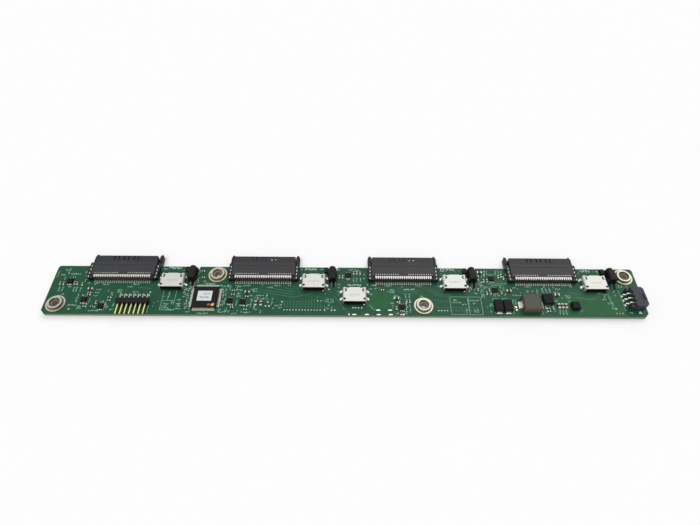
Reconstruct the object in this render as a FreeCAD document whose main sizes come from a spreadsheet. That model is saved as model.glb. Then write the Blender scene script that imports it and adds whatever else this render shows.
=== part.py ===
import FreeCAD, Part
import Sketcher
import math
import os

# Drive backplane board: a long printed circuit board with four right-angle drive
# receptacles along its back edge, five shielded cable receptacles, a power header,
# a pin header and a controller. The origin is the axis of the first mounting hole,
# at the plane its spacer stands on. X runs along the board, Y to the drive side.

doc = FreeCAD.newDocument("DriveBackplane")
sheet = doc.addObject("Spreadsheet::Sheet", "Sizes")

driving = {
    # board
    "boardLength": 340.0, "boardWidth": 33.0, "boardThickness": 1.6,
    "frontCornerCut": 2.4, "backCornerRound": 1.6,
    "holeInsetX": 7.0, "frontHoleInset": 6.4, "backHoleInset": 6.0,
    "thirdHoleX": 206.8,
    # spacers pressed into the mounting holes
    "spacerDrop": 1.5, "shankDiameter": 6.4, "flangeDiameter": 10.8, "flangeHeight": 0.7,
    "collarDiameter": 7.9, "collarHeight": 2.0, "counterboreDiameter": 5.9,
    "boreDiameter": 3.9, "boreLength": 4.0, "spacerClearance": 1.05,
    # drive receptacles
    "firstDriveX": 33.2, "drivePitch": 81.55, "bodyWidth": 36.3, "bodyHeight": 3.1,
    "bodyBack": 8.0, "noseDepth": 5.8, "noseDrop": 1.9, "noseCorner": 0.8, "leadIn": 0.35,
    "edgeClearance": 0.15, "ledgeWidth": 2.35, "ledgeHeight": 2.5, "ledgeBack": 10.4,
    "ledgeFront": 0.7, "ledgeHeel": 1.4, "ledgeCorner": 0.9,
    "earReach": 8.3, "earTop": 0.3, "earSlope": 0.8, "earNotch": 1.2, "earTaper": 1.7,
    "guardFloor": 0.35, "guardTop": 2.6, "guardSheet": 0.4,
    "slotWidth": 33.6, "slotHeight": 2.0, "slotStop": 0.4, "keyWidth": 1.2, "keyDrop": 0.9,
    "windowWidth": 0.6, "windowLength": 3.0, "windowEdge": 0.5, "windowDepth": 0.85,
    "windowPairStep": 5.72, "windowGap": 2.45, "windowCentre": 0.38,
    "slitInner": 2.45, "slitOuter": 16.1, "slitWidth": 0.7, "slitPlace": 7.2, "slitDepth": 0.55,
    "stepPlace": 1.0, "stepWidth": 0.3, "stepDepth": 0.12,
    "contactPitch": 1.27, "contactWidth": 0.6, "contactSheet": 0.2, "contactTip": 1.4,
    "tipHeight": 1.75, "tailHeight": 2.85, "tailPlace": 9.7, "footLength": 2.4,
    "channelSide": 0.3, "channelGap": 0.05, "channelStart": 3.0,
    "clipWidth": 0.55, "clipLength": 1.2, "clipPitch": 2.5, "clipEnd": 1.75, "clipProud": 0.08,
    # cable receptacles
    "cableOffset": 29.55, "cableFront": 16.7, "middleCableX": 167.85, "middleCableFront": 7.5,
    "shellWidth": 13.3, "shellDepth": 9.35, "shellHeight": 3.4, "shellSheet": 0.3,
    "shellLip": 0.6, "lipInset": 1.1, "shellCorner": 0.6, "scallopWidth": 2.2, "scallopDepth": 0.35,
    "scallopPlace": 3.0, "windowRound": 0.55, "windowInsetX": 0.85, "windowInsetY": 1.6,
    "crescentRadius": 0.95, "crescentInsetX": 1.5, "crescentInsetY": 1.9, "crescentBite": 0.6,
    "tabWidth": 1.2, "tabOut": 0.5, "tabTop": 1.0, "tabDrop": 1.0, "tabBackInset": 0.6,
    "tabStep": 4.9, "blockDepth": 3.4, "tongueWidth": 10.8, "tongueHeight": 0.9,
    "tongueReach": 5.2, "sillReach": 0.5, "sillHeight": 0.4,
    "padPitch": 0.6, "padWidth": 0.3, "padHeight": 0.1, "padLength": 4.4,
    # light holders on the back edge
    "lightOffset": 40.15, "holderWidth": 4.0, "holderHeight": 5.0, "holderFront": 10.7,
    "holderBack": 4.6, "barrelDiameter": 3.9, "barrelAxis": 2.6, "barrelBack": 1.6,
    "barrelBevel": 0.6, "holderBevel": 0.5, "frameWidth": 5.0, "frameHeight": 1.5,
    "frameFront": 6.0, "frameBack": 1.7, "armLength": 2.1, "armFront": 4.2, "armBack": 1.0,
    "heelLength": 2.6, "heelSide": 0.7, "heelHeight": 1.3, "ribWidth": 0.9, "ribReach": 3.2,
    "ribHeight": 0.8, "ribPlace": 0.9, "leadWidth": 0.6, "leadSheet": 0.25, "leadReach": 3.3,
    "leadRise": 0.8, "leftLeadX": -0.3, "rightLeadX": 2.1, "lensDiameter": 2.6,
    "lensProud": 0.5, "lensDepth": 1.5, "notchHalf": 3.1, "notchSlope": 0.9,
    "notchDepth": 3.0, "notchShift": 0.2,
    # power header at the right end
    "powerInset": 0.8, "powerY": 10.9, "powerWidth": 12.7, "powerDepth": 7.0,
    "powerHeight": 5.0, "cheekLength": 2.2, "cheekWidth": 1.7, "cheekHeight": 3.6,
    "powerCorner": 1.1, "cavityWidth": 10.5, "cavityHeight": 3.2, "cavityFloor": 1.3,
    "cavityDepth": 5.6, "latchWidth": 3.4, "latchLength": 1.6, "latchHeight": 0.7,
    "powerPitch": 3.0, "powerPin": 0.64, "pinAxis": 2.9, "pinTip": 1.2, "tailStep": 1.7,
    "tailJog": 1.6, "tailOut": 1.9, "notchWidth": 1.1, "notchLength": 0.8,
    # right-angle pin header
    "headerX": 43.0, "headerFront": 6.0, "headerDepth": 2.9, "headerHeight": 2.8,
    "headerPitch": 2.54, "headerPins": 7, "headerPin": 0.64, "headerAxis": 1.3,
    "headerReach": 6.5, "headerTail": 3.54, "headerGroove": 0.35, "pinDrop": 1.2,
    # controller
    "controllerX": 83.2, "controllerShare": 0.338, "controllerSide": 14.0,
    "controllerHeight": 1.4, "controllerGap": 0.1, "controllerChamfer": 0.35,
    "gullPitch": 0.5, "gullWidth": 0.22, "gullCount": 25, "gullReach": 1.0,
    "gullFoot": 0.55, "gullRise": 0.7, "gullSheet": 0.15,
    # power parts
    "coilX": 267.7, "coilY": 7.45, "coilSide": 10.0, "coilHeight": 4.4, "coilTop": 0.5,
    "coilPad": 1.7, "coilPadWidth": 4.2, "coilPadHeight": 1.9,
    "coilPadSheet": 0.35,
    "converterX": 278.1, "converterY": 11.0, "converterWidth": 5.6, "converterLength": 6.4,
    "converterHeight": 2.0, "converterPitch": 1.27,
    "diodeX": 249.1, "diodeStep": 5.15, "diodeY": 6.4, "diodeWidth": 4.7, "diodeLength": 6.9,
    "diodeHeight": 2.4, "diodeTab": 0.9, "diodeTabWidth": 3.1, "diodeTabSheet": 0.3,
    "chokeX": 292.5, "chokeY": 6.4, "chokeWidth": 4.3, "chokeLength": 4.5, "chokeHeight": 2.9,
    "chipSide": 3.0, "chipHeight": 1.0, "chipBevel": 0.3, "chipLead": 0.7, "chipLeadWidth": 0.4,
    "chipLeadPitch": 0.95, "chipLeadSheet": 0.2,
    "smallLength": 1.6, "smallWidth": 0.85, "smallHeight": 0.6, "smallCap": 0.35,
    "largeLength": 2.6, "largeWidth": 1.4, "largeHeight": 1.1, "largeCap": 0.5,
}

for row, (alias, number) in enumerate(driving.items(), start=1):
    sheet.set("A%d" % row, alias)
    sheet.set("B%d" % row, str(number))
    sheet.setAlias("B%d" % row, alias)
doc.recompute()


class Dim:
    """A length that knows its formula in the sheet's cells and its number."""

    def __init__(self, text, number):
        self.text = text
        self.number = number

    def join(self, sign, other, number):
        return Dim("(%s %s %s)" % (self.text, sign, other.text), number)

    def __add__(self, other):
        other = dim(other)
        return self.join("+", other, self.number + other.number)

    def __sub__(self, other):
        other = dim(other)
        return self.join("-", other, self.number - other.number)

    def __mul__(self, other):
        other = dim(other)
        return self.join("*", other, self.number * other.number)

    def __truediv__(self, other):
        other = dim(other)
        return self.join("/", other, self.number / other.number)

    def __neg__(self):
        return dim(0) - self

    def __float__(self):
        return float(self.number)


def dim(value):
    """A plain number, or a Dim as it is."""
    return value if isinstance(value, Dim) else Dim("%.6f" % value, float(value))


class Cells:
    """The sheet's cells, each read by its alias as a Dim."""

    def __getattr__(self, alias):
        return Dim("Sizes." + alias, float(sheet.get(alias)))


s = Cells()
boardTop = s.spacerDrop + s.boardThickness
backEdge = s.boardWidth - s.frontHoleInset


def newBody(name):
    """An empty PartDesign body named after its node."""
    body = doc.addObject("PartDesign::Body", name)
    body.Label = name
    return body


def place(body, x, y, z):
    """Binds the body's place to the sheet."""
    for axis, amount in zip("xyz", (x, y, z)):
        body.setExpression("Placement.Base." + axis, dim(amount).text)


def fix(sketch, kind, first, value):
    """One driving constraint, bound to its formula."""
    value = dim(value)
    index = sketch.addConstraint(Sketcher.Constraint(kind, *first, value.number))
    sketch.setExpression("Constraints[%d]" % index, value.text)


def newSketch(body, name, role, offset):
    """A sketch on one of the body's own origin planes, raised by the offset."""
    sketch = body.newObject("Sketcher::SketchObject", name)
    plane = [f for f in body.Origin.OriginFeatures if f.Role == role][0]
    sketch.AttachmentSupport = [(plane, "")]
    sketch.MapMode = "FlatFace"
    sketch.setExpression("AttachmentOffset.Base.z", dim(offset).text)
    return sketch


def polygons(body, name, role, offset, outlines):
    """A sketch of closed outlines whose corners are all bound to the sheet."""
    sketch = newSketch(body, name, role, offset)
    for outline in outlines:
        first = sketch.GeometryCount
        corners = [FreeCAD.Vector(float(u), float(v), 0) for u, v in outline]
        count = len(corners)
        for index, corner in enumerate(corners):
            sketch.addGeometry(Part.LineSegment(corner, corners[(index + 1) % count]))
        for index, (u, v) in enumerate(outline):
            after = first + (index + 1) % count
            sketch.addConstraint(Sketcher.Constraint("Coincident", first + index, 2, after, 1))
            fix(sketch, "DistanceX", (-1, 1, first + index, 1), u)
            fix(sketch, "DistanceY", (-1, 1, first + index, 1), v)
    return sketch


def circles(body, name, role, offset, rounds):
    """A sketch of circles, each given by its centre and diameter."""
    sketch = newSketch(body, name, role, offset)
    for index, (u, v, diameter) in enumerate(rounds):
        centre = FreeCAD.Vector(float(u), float(v), 0)
        up = FreeCAD.Vector(0, 0, 1)
        sketch.addGeometry(Part.Circle(centre, up, float(diameter) / 2))
        fix(sketch, "DistanceX", (-1, 1, index, 3), u)
        fix(sketch, "DistanceY", (-1, 1, index, 3), v)
        fix(sketch, "Diameter", (index,), diameter)
    return sketch


def rectangle(left, right, low, high):
    """The four corners of a rectangle."""
    return [(left, low), (right, low), (right, high), (left, high)]


def eightSided(x, y, radius):
    """The corners of a small hole pressed with eight sides."""
    turns = [math.radians(22.5 + 45 * n) for n in range(8)]
    return [(x + radius * math.cos(turn), y + radius * math.sin(turn)) for turn in turns]


def pad(body, name, sketch, length, reverse=False, middle=False):
    """Adds the sketch's outlines, pushed out by the length."""
    feature = body.newObject("PartDesign::Pad", name)
    feature.Profile = sketch
    feature.setExpression("Length", dim(length).text)
    feature.Reversed = reverse
    feature.Midplane = middle
    doc.recompute()
    return feature


def pocket(body, name, sketch, length, reverse=False, middle=False):
    """Cuts the sketch's outlines to the length, and makes sure that they cut."""
    before = body.Shape.Volume
    feature = body.newObject("PartDesign::Pocket", name)
    feature.Profile = sketch
    feature.setExpression("Length", dim(length).text)
    feature.Reversed = reverse
    feature.Midplane = middle
    doc.recompute()
    if body.Shape.Volume > before - 1e-6:
        raise RuntimeError("%s of %s cuts nothing" % (name, body.Label))
    return feature


def dress(body, kind, name, amount, test):
    """A fillet or chamfer on the edges of the tip that pass the test."""
    base = body.Tip
    shape = base.Shape
    names = ["Edge%d" % n for n, edge in enumerate(shape.Edges, start=1) if test(edge)]
    feature = body.newObject("PartDesign::" + kind, name)
    feature.Base = (base, names)
    feature.setExpression("Radius" if kind == "Fillet" else "Size", dim(amount).text)
    doc.recompute()
    return feature


def near(value, target):
    """True where two lengths are the same."""
    return abs(float(value) - float(target)) < 1e-4


def lies(edge, **at):
    """True where the whole edge lies at the given coordinates."""
    box = edge.BoundBox
    spans = {"x": (box.XMin, box.XMax), "y": (box.YMin, box.YMax), "z": (box.ZMin, box.ZMax)}
    return all(near(end, target) for axis, target in at.items() for end in spans[axis])


def upright(edge):
    """True for an edge that runs straight up."""
    box = edge.BoundBox
    return box.XLength < 1e-4 and box.YLength < 1e-4


def group(name, solids):
    """A node that holds separate like solids."""
    feature = doc.addObject("Part::Feature", name)
    feature.Label = name
    feature.Shape = solids[0] if len(solids) == 1 else Part.makeCompound(solids)
    feature.Placement = FreeCAD.Placement()
    return feature


def block(left, right, low, high, bottom, top):
    """A rectangular solid between the given planes."""
    lengths = (right - left, high - low, top - bottom)
    return Part.makeBox(*[float(n) for n in lengths],
                        FreeCAD.Vector(float(left), float(low), float(bottom)))


def bentStrip(path, sheetThickness, width):
    """A strip bent along a path of (y, z) points, its width centred on x = 0."""
    points = [FreeCAD.Vector(0, float(y), float(z)) for y, z in path]
    half = float(sheetThickness) / 2
    normals = []
    for start, end in zip(points, points[1:]):
        run = (end - start).normalize()
        normals.append(FreeCAD.Vector(0, -run.z, run.y))
    sides = []
    for index, point in enumerate(points):
        before = normals[max(index - 1, 0)]
        after = normals[min(index, len(normals) - 1)]
        mitre = (before + after) * (half / (1 + before.dot(after)))
        sides.append((point + mitre, point - mitre))
    outline = [a for a, b in sides] + [b for a, b in reversed(sides)]
    face = Part.Face(Part.makePolygon(outline + outline[:1]))
    face.translate(FreeCAD.Vector(-float(width) / 2, 0, 0))
    return face.extrude(FreeCAD.Vector(float(width), 0, 0))


def copyTo(shape, x, y, z=0, turn=0):
    """A copy turned about Z, then moved."""
    copy = shape.copy()
    copy.rotate(FreeCAD.Vector(0, 0, 0), FreeCAD.Vector(0, 0, 1), turn)
    copy.translate(FreeCAD.Vector(float(x), float(y), float(z)))
    return copy


def driveX(number):
    """Centre line of a drive receptacle, counted from 0."""
    return s.firstDriveX + s.drivePitch * number


driveHalf = s.bodyWidth / 2 + s.ledgeWidth
holes = [
    (dim(0), dim(0)),
    (driveX(1) - driveHalf - s.spacerClearance - s.flangeDiameter / 2,
     backEdge - s.backHoleInset),
    (s.thirdHoleX, dim(0)),
    (s.boardLength - s.holeInsetX * 2, backEdge - s.backHoleInset),
]
leftEdge = -s.holeInsetX
rightEdge = s.boardLength - s.holeInsetX
frontEdge = -s.frontHoleInset
cables = [(driveX(n) + s.cableOffset, s.cableFront + frontEdge) for n in range(4)]
cables.append((s.middleCableX, s.middleCableFront + frontEdge))
tabRows = [s.shellDepth - s.tabBackInset, s.shellDepth - s.tabBackInset - s.tabStep]
headerSteps = [n - (int(s.headerPins.number) - 1) / 2 for n in range(int(s.headerPins.number))]
tailRow = s.headerFront + s.headerDepth + s.headerTail + frontEdge
powerRight = rightEdge - s.powerInset
powerTail = powerRight - s.powerDepth - s.tailOut - s.tailStep
powerMiddle = s.powerY + frontEdge
controllerY = s.boardWidth * s.controllerShare


def board():
    """The laminate, with notched back edge, spacer holes and solder holes."""
    body = newBody("circuit_board")
    corners = [
        (leftEdge + s.frontCornerCut, frontEdge),
        (rightEdge - s.frontCornerCut, frontEdge),
        (rightEdge, frontEdge + s.frontCornerCut),
        (rightEdge, backEdge),
    ]
    for number in reversed(range(4)):
        middle = driveX(number) + s.lightOffset + s.notchShift
        corners.append((middle + s.notchHalf, backEdge))
        corners.append((middle + s.notchHalf - s.notchSlope, backEdge - s.notchDepth))
        corners.append((middle - s.notchHalf + s.notchSlope, backEdge - s.notchDepth))
        corners.append((middle - s.notchHalf, backEdge))
    corners.append((leftEdge, backEdge))
    corners.append((leftEdge, frontEdge + s.frontCornerCut))
    outline = polygons(body, "Outline", "XY_Plane", 0, [corners])
    pad(body, "Laminate", outline, s.boardThickness)
    ends = (float(leftEdge), float(rightEdge))
    dress(body, "Fillet", "BackCorners", s.backCornerRound, lambda edge: upright(edge)
          and near(edge.BoundBox.YMin, backEdge)
          and min(abs(edge.BoundBox.XMin - x) for x in ends) < 1e-4)
    shanks = [(x, y, s.shankDiameter) for x, y in holes]
    pocket(body, "SpacerHoles", circles(body, "Spacers", "XY_Plane", s.boardThickness, shanks),
           s.boardThickness)
    slots = []
    half = s.headerPin / 2
    for step in headerSteps:
        x = s.headerX + s.headerPitch * step
        slots.append(rectangle(x - half, x + half, tailRow - half, tailRow + half))
    half = s.powerPin / 2
    for step in (-1, 0, 1):
        y = powerMiddle + s.powerPitch * step
        slots.append(rectangle(powerTail - half, powerTail + half, y - half, y + half))
    pocket(body, "PinHoles", polygons(body, "Pins", "XY_Plane", s.boardThickness, slots),
           s.boardThickness)
    for number, (x, front) in enumerate(cables, start=1):
        slots = []
        for row in tabRows:
            for side in (-1, 1):
                inner = x + (s.shellWidth / 2 + s.tabOut) * side
                outer = inner + s.shellSheet * side
                left, right = (inner, outer) if side > 0 else (outer, inner)
                low = front + row - s.tabWidth
                slots.append(rectangle(left, right, low, front + row))
        sketch = polygons(body, "Tabs%d" % number, "XY_Plane", s.boardThickness, slots)
        pocket(body, "TabHoles%d" % number, sketch, s.boardThickness)
    place(body, 0, 0, s.spacerDrop)
    return body


def spacer(name, x, y):
    """A flanged spacer: shank through the board, flat flange and counterbored collar."""
    body = newBody(name)
    shank = s.shankDiameter / 2
    flange = s.flangeDiameter / 2
    collar = s.collarDiameter / 2
    bore = s.boreDiameter / 2
    seat = s.counterboreDiameter / 2
    rim = boardTop + s.flangeHeight
    top = boardTop + s.collarHeight
    profile = [
        (bore, dim(0)), (shank, dim(0)), (shank, boardTop), (flange, boardTop), (flange, rim),
        (collar, rim), (collar, top), (seat, top), (seat, s.boreLength), (bore, s.boreLength),
    ]
    sketch = polygons(body, "Profile", "XZ_Plane", 0, [profile])
    turned = body.newObject("PartDesign::Revolution", "Turned")
    turned.Profile = sketch
    turned.ReferenceAxis = (sketch, ["V_Axis"])
    turned.Angle = 360
    doc.recompute()
    place(body, x, y, 0)
    return body


def contactPath():
    """Centre line of an upper contact, from its tip to its soldered foot."""
    foot = s.contactSheet / 2
    return [
        (contactTip, s.tipHeight), (-s.tailPlace, s.tailHeight), (-s.tailPlace, foot),
        (-s.tailPlace - s.footLength, foot),
    ]


contactTip = s.noseDepth - s.contactTip
contactSlope = (s.tailHeight - s.tipHeight) / (contactTip + s.tailPlace)
contactCount = 26
contactSteps = [n - (contactCount - 1) / 2 for n in range(contactCount)]


def driveHousing(number):
    """The moulded housing of one drive receptacle, its y zero on the board's back edge."""
    body = newBody("drive_housing_%d" % (number + 1))
    half = s.bodyWidth / 2
    nose = s.noseDepth
    back = -s.bodyBack
    side = half + s.ledgeWidth
    lip = s.edgeClearance
    upper = [
        (-half, back), (half, back), (half, nose - s.noseCorner), (half - s.noseCorner, nose),
        (-half + s.noseCorner, nose), (-half, nose - s.noseCorner),
    ]
    pad(body, "Body", polygons(body, "BodyPlan", "XY_Plane", 0, [upper]), s.bodyHeight)
    lower = [
        (-half, lip), (half, lip), (half, nose - s.noseCorner), (half - s.noseCorner, nose),
        (-half + s.noseCorner, nose), (-half, nose - s.noseCorner),
    ]
    pad(body, "Nose", polygons(body, "NosePlan", "XY_Plane", -s.noseDrop, [lower]), s.noseDrop)

    heel = half - s.ledgeHeel
    ledges = []
    ears = []
    for sign in (-1, 1):
        ledges.append([
            (half * sign, back), (heel * sign, back),
            (heel * sign, -s.ledgeBack + s.ledgeCorner),
            ((heel + s.ledgeCorner) * sign, -s.ledgeBack),
            ((side - s.ledgeCorner) * sign, -s.ledgeBack),
            (side * sign, -s.ledgeBack + s.ledgeCorner),
            (side * sign, s.ledgeFront), (half * sign, s.ledgeFront),
        ])
        ears.append([
            (half * sign, lip), (side * sign, lip), (side * sign, s.earReach - s.earTaper),
            ((side - s.earSlope) * sign, s.earReach), ((half + s.earSlope) * sign, s.earReach),
            (half * sign, s.earReach - s.earNotch),
        ])
    pad(body, "Ledges", polygons(body, "LedgePlan", "XY_Plane", 0, ledges), s.ledgeHeight)
    pad(body, "Ears", polygons(body, "EarPlan", "XY_Plane", -s.noseDrop, ears),
        s.noseDrop + s.earTop)
    span = heel + s.ledgeCorner
    guard = rectangle(-span, span, -s.ledgeBack, -s.ledgeBack + s.guardSheet)
    pad(body, "TailGuard", polygons(body, "GuardPlan", "XY_Plane", s.guardFloor, [guard]),
        s.guardTop - s.guardFloor)

    slot = s.slotWidth / 2
    mouth = [
        (-slot, -s.keyDrop), (-slot + s.keyWidth, -s.keyDrop), (-slot + s.keyWidth, dim(0)),
        (slot, dim(0)), (slot, s.slotHeight), (-slot, s.slotHeight),
    ]
    pocket(body, "Slot", polygons(body, "Mouth", "XZ_Plane", -nose, [mouth]),
           nose - s.slotStop, reverse=True)

    reach = s.contactPitch * (contactCount - 1) + s.contactWidth + s.channelSide * 2
    sheetHalf = s.contactSheet / 2 + s.channelGap
    low = s.tipHeight + contactSlope * (contactTip - s.channelStart)
    high = s.tipHeight + contactSlope * (contactTip + s.bodyBack)
    upperRun = [
        (s.channelStart, low - sheetHalf), (s.channelStart, low + sheetHalf),
        (back, high + sheetHalf), (back, high - sheetHalf),
    ]
    lowerRun = rectangle(back, s.slotStop, dim(0), s.contactSheet)
    runs = polygons(body, "ChannelRuns", "YZ_Plane", 0, [upperRun, lowerRun])
    pocket(body, "Channels", runs, reach, middle=True)

    cuts = []
    for sign in (-1, 1):
        edges = (s.slitInner * sign, s.slitOuter * sign)
        left, right = edges if sign > 0 else (edges[1], edges[0])
        cuts.append(rectangle(left, right, -s.slitPlace, -s.slitPlace + s.slitWidth))
    pocket(body, "Slits", polygons(body, "SlitPlan", "XY_Plane", s.bodyHeight, cuts), s.slitDepth)
    cuts = []
    for pair in (-1, 0, 1):
        for sign in (-1, 1):
            x = s.windowPairStep * pair - s.windowCentre + s.windowGap / 2 * sign
            high = nose - s.windowEdge
            cuts.append(rectangle(x - s.windowWidth / 2, x + s.windowWidth / 2,
                                  high - s.windowLength, high))
    pocket(body, "Windows", polygons(body, "WindowPlan", "XY_Plane", s.bodyHeight, cuts),
           s.windowDepth)
    step = rectangle(-s.slitOuter, s.slitOuter, -s.stepPlace - s.stepWidth, -s.stepPlace)
    pocket(body, "Step", polygons(body, "StepPlan", "XY_Plane", s.bodyHeight, [step]),
           s.stepDepth)
    cuts = []
    for x, y in clipPlaces():
        cuts.append(rectangle(x - s.clipWidth / 2, x + s.clipWidth / 2,
                              y - s.clipLength / 2, y + s.clipLength / 2))
    pocket(body, "ClipHoles", polygons(body, "ClipPlan", "XY_Plane", s.ledgeHeight, cuts),
           s.ledgeHeight)
    dress(body, "Chamfer", "LeadIn", s.leadIn, lambda edge:
          lies(edge, y=nose, z=s.bodyHeight) and edge.Length > float(s.bodyWidth) / 2)
    place(body, driveX(number), backEdge, boardTop)
    return body


def clipPlaces():
    """Centres of the soldered hold-down pins along both ledges."""
    x = (s.bodyWidth + s.ledgeWidth) / 2
    return [(x * side, -s.clipEnd - s.clipPitch * n) for side in (-1, 1) for n in range(4)]


def driveContacts(number):
    """The two contact rows: upper beams bent down to the board, lower ones straight."""
    upper = bentStrip(contactPath(), s.contactSheet, s.contactWidth)
    lower = block(-s.contactWidth / 2, s.contactWidth / 2, -s.bodyBack - s.contactWidth,
                  contactTip, dim(0), s.contactSheet)
    solids = []
    for step in contactSteps:
        x = driveX(number) + s.contactPitch * step
        solids.append(copyTo(upper, x, backEdge, boardTop))
        solids.append(copyTo(lower, x, backEdge, boardTop))
    return group("drive_contacts_%d" % (number + 1), solids)


def holdDowns(number):
    """The soldered pins that stand through the ledges."""
    pin = block(-s.clipWidth / 2, s.clipWidth / 2, -s.clipLength / 2, s.clipLength / 2,
                dim(0), s.ledgeHeight + s.clipProud)
    solids = [copyTo(pin, driveX(number) + x, backEdge + y, boardTop) for x, y in clipPlaces()]
    return group("drive_hold_downs_%d" % (number + 1), solids)


def cableShell(number, x, front):
    """The folded shield of one cable receptacle, its y zero on its front edge."""
    body = newBody("cable_shell_%d" % number)
    half = s.shellWidth / 2
    sheetIn = s.shellSheet
    corner = s.shellCorner
    high = s.shellHeight
    outer = [
        (-half, dim(0)), (half, dim(0)), (half, high - corner), (half - corner, high),
        (-half + corner, high), (-half, high - corner),
    ]
    inner = [
        (-half + sheetIn, sheetIn), (half - sheetIn, sheetIn),
        (half - sheetIn, high - corner), (half - corner, high - sheetIn),
        (-half + corner, high - sheetIn), (-half + sheetIn, high - corner),
    ]
    ring = polygons(body, "Fold", "XZ_Plane", 0, [outer, inner])
    pad(body, "Shell", ring, s.shellDepth, reverse=True)
    lip = polygons(body, "LipPlan", "XY_Plane", 0,
                   [rectangle(-half + s.lipInset, half - s.lipInset, -s.shellLip, dim(0))])
    pad(body, "Lip", lip, sheetIn)
    wings = []
    for sign in (-1, 1):
        out = half + s.tabOut
        wings.append([
            (half * sign, s.tabTop), (half * sign, s.tabTop - sheetIn),
            (out * sign, s.tabTop - sheetIn), (out * sign, -s.boardThickness - s.tabDrop),
            ((out + sheetIn) * sign, -s.boardThickness - s.tabDrop),
            ((out + sheetIn) * sign, s.tabTop),
        ])
    for index, row in enumerate(tabRows, start=1):
        sketch = polygons(body, "TabFold%d" % index, "XZ_Plane", -row, wings)
        pad(body, "Tabs%d" % index, sketch, s.tabWidth)
    scallops = []
    for sign in (-1, 1):
        a, b = s.scallopPlace * sign, (s.scallopPlace + s.scallopWidth) * sign
        left, right = (a, b) if sign > 0 else (b, a)
        scallops.append(rectangle(left, right, s.shellDepth - s.scallopDepth, s.shellDepth))
    pocket(body, "Scallops", polygons(body, "BackPlan", "XY_Plane", high, scallops), sheetIn * 2)
    hole = half - s.windowInsetX
    rounds = [eightSided(hole * sign, s.windowInsetY, s.windowRound) for sign in (-1, 1)]
    pocket(body, "FrontHoles", polygons(body, "FrontRounds", "XY_Plane", high, rounds),
           sheetIn * 2)
    crescents = []
    for sign in (-1, 1):
        inside = half - s.crescentInsetX - s.crescentBite / 2
        outside = half - s.crescentInsetX + s.crescentBite / 2
        middle = s.shellDepth - s.crescentInsetY
        crescents.append([
            (outside * sign, middle + s.crescentRadius), (inside * sign, middle + s.crescentBite),
            (inside * sign, middle - s.crescentBite), (outside * sign, middle - s.crescentRadius),
        ])
    pocket(body, "Crescents", polygons(body, "CrescentPlan", "XY_Plane", high, crescents),
           sheetIn * 2)
    place(body, x, front, boardTop)
    return body


def cableInsert(number, x, front):
    """The moulded insert inside a shield, with the tongue that the plug slides over."""
    body = newBody("cable_insert_%d" % number)
    half = s.shellWidth / 2 - s.shellSheet
    high = s.shellHeight - s.shellSheet
    corner = s.shellCorner
    filled = [
        (-half, s.shellSheet), (half, s.shellSheet), (half, high - corner),
        (half - corner, high), (-half + corner, high), (-half, high - corner),
    ]
    back = s.shellDepth - s.scallopDepth
    pad(body, "Block", polygons(body, "BlockFace", "XZ_Plane", -back, [filled]), s.blockDepth)
    middle = s.shellHeight / 2
    face = rectangle(-s.tongueWidth / 2, s.tongueWidth / 2,
                     middle - s.tongueHeight / 2, middle + s.tongueHeight / 2)
    root = back - s.blockDepth
    pad(body, "Tongue", polygons(body, "TongueFace", "XZ_Plane", -root, [face]), s.tongueReach)
    side = half - s.lipInset
    sill = rectangle(-side, side, -s.sillReach, root)
    pad(body, "Sill", polygons(body, "SillPlan", "XY_Plane", s.shellSheet, [sill]), s.sillHeight)
    place(body, x, front, boardTop)
    return body


def cableContacts(number, x, front):
    """The contacts that lie on a tongue's upper face."""
    root = s.shellDepth - s.scallopDepth - s.blockDepth
    top = boardTop + s.shellHeight / 2 + s.tongueHeight / 2
    strip = block(-s.padWidth / 2, s.padWidth / 2, root - s.padLength, root, dim(0), s.padHeight)
    count = int(float(s.tongueWidth - s.padPitch * 2) / float(s.padPitch)) + 1
    solids = [copyTo(strip, x + s.padPitch * (n - (count - 1) / 2), front, top)
              for n in range(count)]
    return group("cable_contacts_%d" % number, solids)


def lightHolder(number):
    """The moulded holder of one status light, its y zero on the board's back edge."""
    body = newBody("light_holder_%d" % (number + 1))
    half = s.holderWidth / 2
    high = s.holderHeight
    tower = rectangle(-half, half, -s.holderFront, -s.holderBack)
    pad(body, "Tower", polygons(body, "TowerPlan", "XY_Plane", 0, [tower]), high)
    dress(body, "Chamfer", "Crown", s.holderBevel, lambda edge:
          lies(edge, z=high) and edge.BoundBox.YLength > 1 or lies(edge, y=-s.holderFront, z=high))
    rounds = [(dim(0), s.barrelAxis, s.barrelDiameter)]
    face = circles(body, "BarrelFace", "XZ_Plane", s.holderBack, rounds)
    pad(body, "Barrel", face, s.holderBack - s.barrelBack, reverse=True)
    dress(body, "Chamfer", "Dome", s.barrelBevel, lambda edge: lies(edge, y=-s.barrelBack)
          and near(edge.BoundBox.XLength, s.barrelDiameter))
    frame = s.frameWidth / 2
    arm = [
        (-frame - s.armLength, -s.armFront), (-frame, -s.armFront), (-frame, -s.frameFront),
        (frame, -s.frameFront), (frame, -s.frameBack), (-frame, -s.frameBack),
        (-frame, -s.armBack), (-frame - s.armLength, -s.armBack),
    ]
    pad(body, "Frame", polygons(body, "FramePlan", "XY_Plane", 0, [arm]), s.frameHeight)
    heel = rectangle(-half, half + s.heelSide, -s.holderFront, -s.holderFront + s.heelLength)
    rib = rectangle(s.ribPlace - s.ribWidth / 2, s.ribPlace + s.ribWidth / 2,
                    -s.holderFront - s.ribReach, -s.holderFront)
    pad(body, "Heel", polygons(body, "HeelPlan", "XY_Plane", 0, [heel]), s.heelHeight)
    pad(body, "Rib", polygons(body, "RibPlan", "XY_Plane", 0, [rib]), s.ribHeight)
    seat = circles(body, "LensSeat", "XZ_Plane", s.barrelBack,
                   [(dim(0), s.barrelAxis, s.lensDiameter)])
    pocket(body, "LensHole", seat, s.lensDepth, reverse=True)
    place(body, driveX(number) + s.lightOffset, backEdge, boardTop)
    return body


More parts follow.
